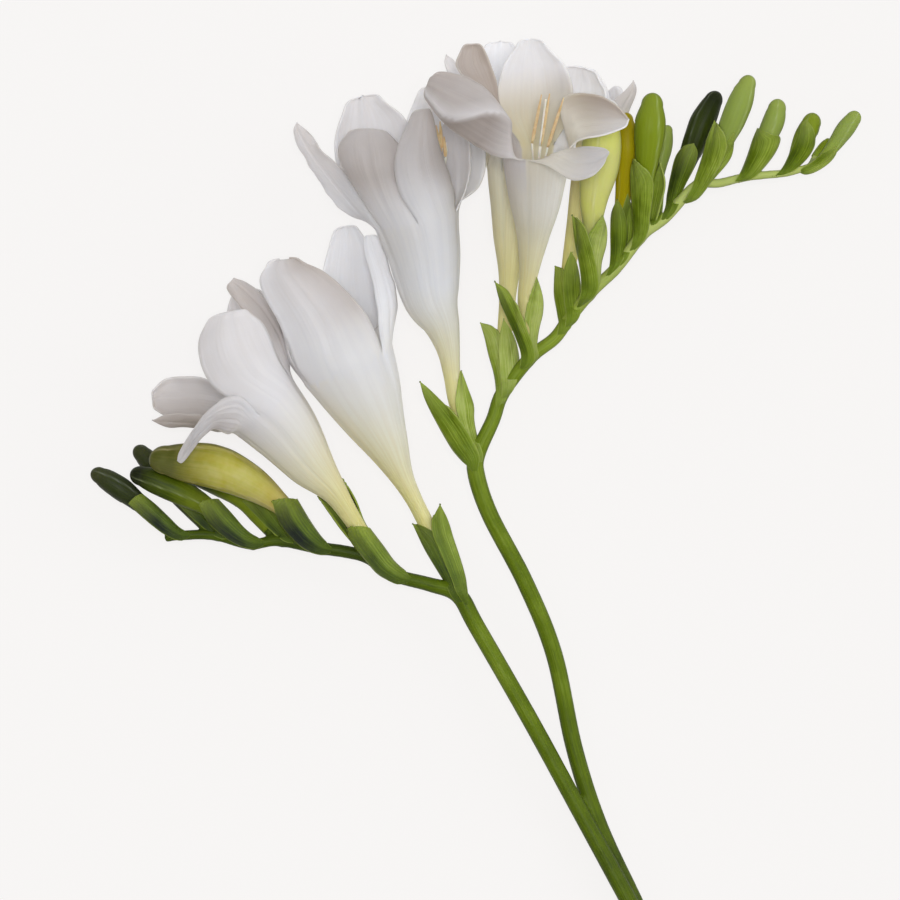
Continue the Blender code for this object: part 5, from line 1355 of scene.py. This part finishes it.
def trace_stem(thing):
    """Gives each point of the stem its angle round the nearest bar, its distance along it, and its tone, which
    is painted shade and light.
    """
    co = np.zeros(len(thing.data.vertices) * 3)
    thing.data.vertices.foreach_get("co", co)
    co = co.reshape(-1, 3) / MM - SHIFT
    best = np.full(len(co), 1e9)
    trace = np.zeros((len(co), 3), np.float32)
    for index, rows in enumerate((MAIN_STEM, SIDE_BRANCH)):
        axis = Axis(rows, steps=8)
        frames = np.array([axis.frame(far) for far in axis.far])
        for low in range(0, len(co), TRACE_BLOCK):
            block = slice(low, low + TRACE_BLOCK)
            part = co[block]
            away = part[:, None, :] - axis.points[None]
            far = np.linalg.norm(away, axis=2)
            near = far.argmin(axis=1)
            dist = far[np.arange(len(part)), near]
            arm = away[np.arange(len(part)), near]
            angle = np.arctan2((arm * frames[near, 2]).sum(axis=1), (arm * frames[near, 1]).sum(axis=1))
            better = dist < best[block]
            best[block][better] = dist[better]
            along = axis.far[near] * TRACE_RATE + BAR_OFFSET * index
            trace[block][better] = np.stack((np.cos(angle), np.sin(angle), along), axis=1)[better]
    write_mark(thing, "trace", trace, "FLOAT_VECTOR")
    # Painted shade and light: the tone is read from the stem's place in the layout.
    tone = np.where(
        trace[:, 2] < BAR_OFFSET - 1,
        np.interp(co[:, 0], *MAIN_SHADE_TONES),
        np.interp(co[:, 0] + co[:, 1], *BRANCH_SHADE_TONES),
    )
    write_mark(thing, "tone", tone)


# ---------------------------------------------------------------- materials


def add(tree, kind, inputs=None, **settings):
    """One node, with values or links for its inputs."""
    made = tree.nodes.new(kind)
    for key, value in settings.items():
        setattr(made, key, value)
    for key, value in (inputs or {}).items():
        socket = made.inputs[key]
        if isinstance(value, bpy.types.NodeSocket):
            tree.links.new(value, socket)
        else:
            socket.default_value = value
    return made


def sums(tree, operation, *values, clamp=False):
    """The result of one Math node."""
    made = add(tree, "ShaderNodeMath", dict(enumerate(values)), operation=operation, use_clamp=clamp)
    return made.outputs[0]


def ramp(tree, value, *stops):
    """The colour or grey that a Color Ramp gives a value: stops are (place, grey or colour)."""
    made = tree.nodes.new("ShaderNodeValToRGB")
    bar = made.color_ramp.elements
    while len(bar) < len(stops):
        bar.new(0.5)
    for element, (at, colour) in zip(bar, stops, strict=True):
        element.position = at
        element.color = (*(colour if isinstance(colour, tuple) else (colour,) * 3), 1.0)
    tree.links.new(value, made.inputs[0])
    return made.outputs[0]


def effect(name, inputs, outputs):
    """An empty node group with these float or vector sockets, and its two end nodes."""
    tree = bpy.data.node_groups.new(name, "ShaderNodeTree")
    for way, sockets in (("INPUT", inputs), ("OUTPUT", outputs)):
        for label, kind in sockets:
            tree.interface.new_socket(name=label, in_out=way, socket_type=kind)
    return tree, tree.nodes.new("NodeGroupInput"), tree.nodes.new("NodeGroupOutput")


FLOAT, VECTOR = "NodeSocketFloat", "NodeSocketVector"
GRAIN_RATE = 22.0  # how much finer the grain is than the patches


def make_veins():
    """Uneven streaks that run along a leafy part: about Count of them to each unit of U."""
    sockets = (("UV", VECTOR), ("Count", FLOAT), ("Length", FLOAT)), (("Lines", FLOAT), ("Across", FLOAT))
    tree, given, made = effect("long_veins", *sockets)
    apart = add(tree, "ShaderNodeSeparateXYZ", {0: given.outputs["UV"]})
    along = sums(tree, "MULTIPLY", apart.outputs[1], given.outputs["Length"])
    across = sums(tree, "MULTIPLY", apart.outputs[0], given.outputs["Count"])
    fine = add(tree, "ShaderNodeCombineXYZ", {0: across, 1: along})
    settings = {"Vector": fine.outputs[0], "Scale": 1.0, "Detail": 2.0}
    streaks = add(tree, "ShaderNodeTexNoise", settings, noise_dimensions="2D")
    tree.links.new(ramp(tree, streaks.outputs[0], (0.38, 0.0), (0.62, 1.0)), made.inputs["Lines"])
    middle = sums(tree, "ABSOLUTE", sums(tree, "SUBTRACT", sums(tree, "FRACT", apart.outputs[0]), 0.5))
    tree.links.new(sums(tree, "MULTIPLY", middle, 2.0), made.inputs["Across"])
    return tree


def make_mottle():
    """Soft patches and a fine grain in object space, at a size given as a scale in patches to the metre."""
    sockets = (("Place", VECTOR), ("Scale", FLOAT)), (("Patches", FLOAT), ("Grain", FLOAT))
    tree, given, made = effect("soft_mottle", *sockets)
    where, scale = given.outputs["Place"], given.outputs["Scale"]
    patches = add(tree, "ShaderNodeTexNoise", {"Vector": where, "Scale": scale, "Detail": 3.0})
    tree.links.new(ramp(tree, patches.outputs[0], (0.32, 0.0), (0.68, 1.0)), made.inputs["Patches"])
    fine = sums(tree, "MULTIPLY", scale, GRAIN_RATE)
    grain = add(tree, "ShaderNodeTexNoise", {"Vector": where, "Scale": fine, "Detail": 2.0})
    tree.links.new(grain.outputs[0], made.inputs["Grain"])
    return tree


VEINS, MOTTLE = make_veins(), make_mottle()


class Tissue:
    """A material in the making: its nodes, and the colour that its layers have built up so far."""

    def __init__(self, name, mottle_scale, vein_count=None, vein_length=None):
        self.material = bpy.data.materials.new(name)
        self.material.use_nodes = True
        self.tree = tree = self.material.node_tree
        tree.nodes.clear()
        self.shader = tree.nodes.new("ShaderNodeBsdfPrincipled")
        add(tree, "ShaderNodeOutputMaterial", {0: self.shader.outputs[0]})
        where = tree.nodes.new("ShaderNodeTexCoord")
        inputs = {"Place": where.outputs["Object"], "Scale": mottle_scale}
        mottle = add(tree, "ShaderNodeGroup", inputs, node_tree=MOTTLE)
        self.patches, self.grain = mottle.outputs["Patches"], mottle.outputs["Grain"]
        if vein_count:
            uv = where.outputs["UV"]
            inputs = {"UV": uv, "Count": vein_count, "Length": vein_length}
            veins = add(tree, "ShaderNodeGroup", inputs, node_tree=VEINS)
            self.lines, self.across = veins.outputs["Lines"], veins.outputs["Across"]
            self.up = add(tree, "ShaderNodeSeparateXYZ", {0: uv}).outputs[1]
        self.colour = None

    def sums(self, operation, *values, clamp=False):
        return sums(self.tree, operation, *values, clamp=clamp)

    def ramp(self, value, *stops):
        return ramp(self.tree, value, *stops)

    def mark(self, label):
        """A number that the piece's mesh carries for each of its points."""
        return add(self.tree, "ShaderNodeAttribute", attribute_name=label).outputs["Fac"]

    def blend(self, share, low, high):
        """The colour between two, by a share."""
        made = add(self.tree, "ShaderNodeMix", data_type="RGBA")
        for socket, value in ((made.inputs[0], share), (made.inputs[6], low), (made.inputs[7], high)):
            if isinstance(value, bpy.types.NodeSocket):
                self.tree.links.new(value, socket)
            else:
                socket.default_value = value if isinstance(value, float) else (*value, 1.0)
        return made.outputs[2]

    def layer(self, share, tint, most=None):
        """Lays a colour over the others by a share, or by a mask and the most that it may cover."""
        if most is not None:
            share = self.sums("MULTIPLY", share, most)
        self.colour = self.blend(share, self.colour, tint)

    def paint_flank_shade(self, power, most, tint):
        """Paints shade: deepens the colour where the piece's surface stands upright."""
        self.layer(self.sums("POWER", self.mark("flank"), power), tint, most)

    def soften(self, tone, value, span):
        """A tone that a pattern from 0 to 1 moves up and down by half the span."""
        return self.sums("ADD", tone, self.sums("MULTIPLY_ADD", value, span, -span / 2))

    def green(self, tone):
        """The green for a tone from 0, deep, to 1, pale."""
        return self.ramp(tone, *GREENS)

    def finish(self, surface, *layers):
        """Ends a material with its surface and its bumps: (height, depth in millimetres, strength)."""
        self.tree.links.new(self.colour, self.shader.inputs["Base Color"])
        for label, value in surface.items():
            self.shader.inputs[label].default_value = value
        normal = None
        for height, depth, strength in layers:
            inputs = {"Height": height, "Distance": depth * MM, "Strength": strength}
            if normal:
                inputs["Normal"] = normal
            normal = add(self.tree, "ShaderNodeBump", inputs).outputs[0]
        self.tree.links.new(normal, self.shader.inputs["Normal"])
        return self.material


GREENS = (
    (0.0, (0.006, 0.010, 0.003)),
    (0.25, (0.048, 0.075, 0.005)),
    (0.5, (0.112, 0.168, 0.005)),
    (0.75, (0.235, 0.315, 0.032)),
    (1.0, (0.420, 0.490, 0.140)),
)
YELLOWS = (
    (0.2, (0.93, 0.85, 0.60)),
    (0.6, (0.92, 0.80, 0.38)),
    (0.85, (0.84, 0.75, 0.26)),
    (1.0, (0.55, 0.57, 0.12)),
)
PETAL_SURFACE = {
    "Roughness": 0.5,
    "Specular IOR Level": 0.3,
    "Subsurface Weight": 0.7,
    "Subsurface Radius": (1.0, 0.9, 0.8),
    "Subsurface Scale": 2.0 * MM,
}
GREEN_SURFACE = {
    "Roughness": 0.42,
    "Specular IOR Level": 0.09,
    "Subsurface Weight": 0.2,
    "Subsurface Radius": (0.7, 1.0, 0.1),
    "Subsurface Scale": 0.6 * MM,
}
STRAND_SURFACE = {"Roughness": 0.6, "Subsurface Weight": 0.2, "Subsurface Scale": 0.4 * MM}


def petal_material():
    """Thin white tissue: yellow at the tube's foot, white or painted beige and grey shade as the tepal's tone
    says, lightly veined, with painted shade where it stands upright.
    """
    tissue = Tissue("white_petal", 120.0, 15.0, 2.5)
    tone, cream = tissue.mark("tone"), tissue.mark("cream")
    # Painted shade: low tones turn the white into beige, or into grey where the tepal is cool.
    low = tissue.blend(tissue.mark("cool"), (0.27, 0.225, 0.195), (0.235, 0.228, 0.24))
    tissue.colour = tissue.blend(tone, low, (0.90, 0.89, 0.925))
    tissue.layer(tissue.lines, (0.55, 0.50, 0.45), 0.09)
    tissue.layer(tissue.patches, (0.80, 0.79, 0.83), 0.08)
    yellow = tissue.sums("MULTIPLY_ADD", tissue.lines, -0.03, cream)
    yellow = tissue.ramp(yellow, (0.0, 0.0), (0.35, 0.7), (0.65, 1.0))
    # The yellow is painted darker where the tone is low: painted shade.
    lit = tissue.sums("MULTIPLY_ADD", tone, 0.4, 0.6)
    tissue.layer(yellow, tissue.blend(lit, (0.2, 0.17, 0.06), tissue.ramp(cream, *YELLOWS)))
    streak = tissue.sums("MULTIPLY", tissue.lines, tissue.ramp(cream, (0.1, 0.0), (0.6, 0.25)))
    tissue.layer(streak, (0.72, 0.50, 0.14))
    tissue.layer(tissue.ramp(tissue.across, (0.93, 0.0), (1.0, 1.0)), (0.72, 0.66, 0.58), 0.14)
    # Painted shade where the surface stands upright.
    tissue.paint_flank_shade(2.4, 0.14, (0.55, 0.50, 0.44))
    return tissue.finish(PETAL_SURFACE, (tissue.lines, 0.10, 0.30), (tissue.grain, 0.05, 0.25))


def leaf_material(name, foot, end, bloom):
    """Green leafy tissue: deep or pale as its tone says, which is partly its own green and partly painted shade
    and light, stem green at its foot, thin at margins and end, with painted shade where it stands upright.
    """
    tissue = Tissue(name, 260.0, 16.0, 2.0)
    tone = tissue.soften(tissue.mark("tone"), tissue.patches, 0.16)
    tissue.colour = tissue.green(tissue.soften(tone, tissue.lines, 0.16))
    tissue.layer(bloom, (0.20, 0.24, 0.24))
    tissue.layer(tissue.ramp(tissue.up, (0.05, 0.8), (0.3, 0.0)), foot)
    margin = tissue.ramp(tissue.across, (0.86, 0.0), (1.0, 1.0))
    tip = tissue.ramp(tissue.up, (0.4, 0.0), (0.9, 0.75))
    tissue.layer(tissue.sums("MAXIMUM", margin, tip), end)
    # Painted shade where the surface stands upright.
    tissue.paint_flank_shade(2.0, 0.7, (0.02, 0.035, 0.005))
    return tissue.finish(GREEN_SURFACE, (tissue.lines, 0.1, 0.5), (tissue.grain, 0.03, 0.3))


def bud_material(name, foot, belly, tip, patch=None, tip_from=0.5, foot_to=0.1):
    """Bud tissue: long fine lines from its foot to its tip, pale where a folded tepal's edge shows, with
    painted shade where it stands upright.
    """
    tissue = Tissue(name, 220.0, 46.0, 3.0)
    stops = (foot_to, foot), (foot_to + 0.2, belly), (tip_from, belly), (tip_from + 0.25, tip)
    tissue.colour = tissue.ramp(tissue.up, *stops)
    lined = tissue.ramp(tissue.up, (tip_from, 0.22), (tip_from + 0.25, 0.04))
    tissue.layer(tissue.lines, foot, lined)
    near_tip = tissue.ramp(tissue.up, (tip_from, 1.0), (tip_from + 0.2, 0.2))
    tissue.layer(tissue.sums("MULTIPLY", tissue.patches, near_tip), patch or tip, 0.4)
    pale = tissue.sums("MULTIPLY", tissue.mark("seam"), 0.4, clamp=True)
    tissue.layer(pale, tuple(0.25 + part for part in foot))
    # Painted shade where the surface stands upright.
    tissue.paint_flank_shade(2.0, 0.65, tuple(0.3 * part for part in belly))
    return tissue.finish(GREEN_SURFACE, (tissue.lines, 0.08, 0.4), (tissue.grain, 0.03, 0.3))


def stem_material():
    """Green skin with fine ribs along the stem. Its tone is painted shade and light, and it has painted shade
    where it stands upright.
    """
    tissue = Tissue("stem_skin", 140.0)
    trace = add(tissue.tree, "ShaderNodeAttribute", attribute_name="trace").outputs["Vector"]
    ribs = add(tissue.tree, "ShaderNodeTexNoise", {"Vector": trace, "Scale": 7.0, "Detail": 3.0})
    ribs = tissue.ramp(ribs.outputs[0], (0.35, 0.0), (0.65, 1.0))
    tone = tissue.soften(tissue.mark("tone"), tissue.patches, 0.12)
    tissue.colour = tissue.green(tissue.soften(tone, ribs, 0.12))
    # Painted shade where the surface stands upright.
    tissue.paint_flank_shade(1.6, 0.75, (0.022, 0.035, 0.004))
    return tissue.finish(GREEN_SURFACE, (ribs, 0.06, 0.35), (tissue.grain, 0.03, 0.3))


def cut_material():
    """The cut end: wet, pale and softly patched."""
    tissue = Tissue("stem_cut_end", 900.0)
    tissue.colour = tissue.blend(tissue.patches, (0.42, 0.5, 0.2), (0.62, 0.66, 0.38))
    return tissue.finish({"Roughness": 0.3}, (tissue.grain, 0.08, 0.5))


def strand_material(name, low, high, grain_depth):
    """Softly grained tissue for the thin parts inside a flower."""
    tissue = Tissue(name, 900.0)
    tissue.colour = tissue.blend(tissue.patches, low, high)
    tissue.layer(tissue.grain, high, 0.3)
    return tissue.finish(STRAND_SURFACE, (tissue.grain, grain_depth, 0.6))


def floor_material():
    """A plain pale board: the camera sees its plain colour, with a soft share of the real light and shadow."""
    material = bpy.data.materials.new("pale_floor")
    material.use_nodes = True
    tree = material.node_tree
    tree.nodes.clear()
    board = add(tree, "ShaderNodeBsdfDiffuse", {"Color": (*FLOOR_COLOUR, 1.0)})
    glow = add(tree, "ShaderNodeEmission", {"Color": (*FLOOR_COLOUR, 1.0), "Strength": 1.0})
    rays = tree.nodes.new("ShaderNodeLightPath")
    seen = sums(tree, "MAXIMUM", rays.outputs["Is Camera Ray"], rays.outputs["Is Glossy Ray"])
    seen = sums(tree, "MAXIMUM", seen, rays.outputs["Is Transmission Ray"])
    share = sums(tree, "MULTIPLY", seen, FLOOR_GLOW)
    mixed = add(tree, "ShaderNodeMixShader", {0: share, 1: board.outputs[0], 2: glow.outputs[0]})
    add(tree, "ShaderNodeOutputMaterial", {0: mixed.outputs[0]})
    return material


# ---------------------------------------------------------------- the spray

petal = petal_material()
filament = strand_material("filament_white", (0.72, 0.70, 0.58), (0.82, 0.80, 0.72), 0.02)
gold = strand_material("anther_gold", (0.62, 0.42, 0.19), (0.78, 0.60, 0.34), 0.12)
# Bracts on the left spike take the deep copy and those on the right the bright one: partly their own green,
# partly painted shade and painted light.
leaf_deep_and_shaded = leaf_material("bract_deep_and_shaded", (0.07, 0.11, 0.008), (0.24, 0.30, 0.045), 0.07)
leaf_bright_and_lit = leaf_material("bract_bright_and_lit", (0.15, 0.22, 0.02), (0.33, 0.40, 0.09), 0.0)
bud_finishes = {name: bud_material(name, **finish) for name, finish in BUD_FINISHES.items()}

stem(stem_material(), cut_material())
for index, name in enumerate(FLOWERS):
    flower(name, petal, 11.3 * (index + 1))
    if name in STAMEN_LINES:
        stamens(name, filament, gold)
for index, name in enumerate(BUDS):
    # The left spike's buds default to the deep finish and the right's to the bright: partly painted shade and
    # light.
    finish = FINISH_OF.get(name, "bud_deep_and_shaded" if name in LEFT_SPIKE else "bud_bright_and_lit")
    bud(name, "bud_yellow" if name in YELLOW_BUDS else "bud_green", bud_finishes[finish], index + 1.0)
# The left spike's bracts take the deep, partly painted shade copy, and the right spike's the bright, partly
# painted light one.
for index, (name, rows) in enumerate(FLORETS.items()):
    for node in (f"{name}_outer_bract", f"{name}_inner_bract"):
        if node in LEAVES:
            bract(node, rows, leaf_deep_and_shaded if name in LEFT_SPIKE else leaf_bright_and_lit, 5.1 * (index + 1))

# ---------------------------------------------------------------- floor, light and camera

deselect_all()
bpy.ops.mesh.primitive_plane_add(size=FLOOR_SIZE, location=(0, 0, -FLOOR_DROP))
floor = bpy.context.object
floor.name = "floor"
floor.data.transform(floor.matrix_world)
floor.matrix_world.identity()
floor.data.materials.append(floor_material())

bpy.ops.object.camera_add()
camera = bpy.context.object
camera.name = "camera"
camera.data.lens = LENS
camera.data.sensor_width = SENSOR
camera.data.clip_end = 20.0
distance = VIEW_FIELD * LENS / SENSOR
camera.location = Vector((SHIFT + np.array((0, 0, VIEW_HEIGHT + distance))) * MM)
bpy.context.scene.camera = camera

for name, towards, strength, soft in SUNS:
    bpy.ops.object.light_add(type="SUN")
    lamp = bpy.context.object
    lamp.name = name
    lamp.data.energy = strength
    lamp.data.color = SUN_COLOUR
    lamp.data.angle = math.radians(soft)
    lamp.rotation_euler = Vector(towards).to_track_quat("Z", "Y").to_euler()

world = bpy.data.worlds.new("soft_room")
bpy.context.scene.world = world
world.use_nodes = True
world.node_tree.nodes["Background"].inputs["Color"].default_value = (*ROOM_COLOUR, 1.0)
world.node_tree.nodes["Background"].inputs["Strength"].default_value = ROOM_LIGHT

bpy.context.scene.view_settings.view_transform = "Standard"
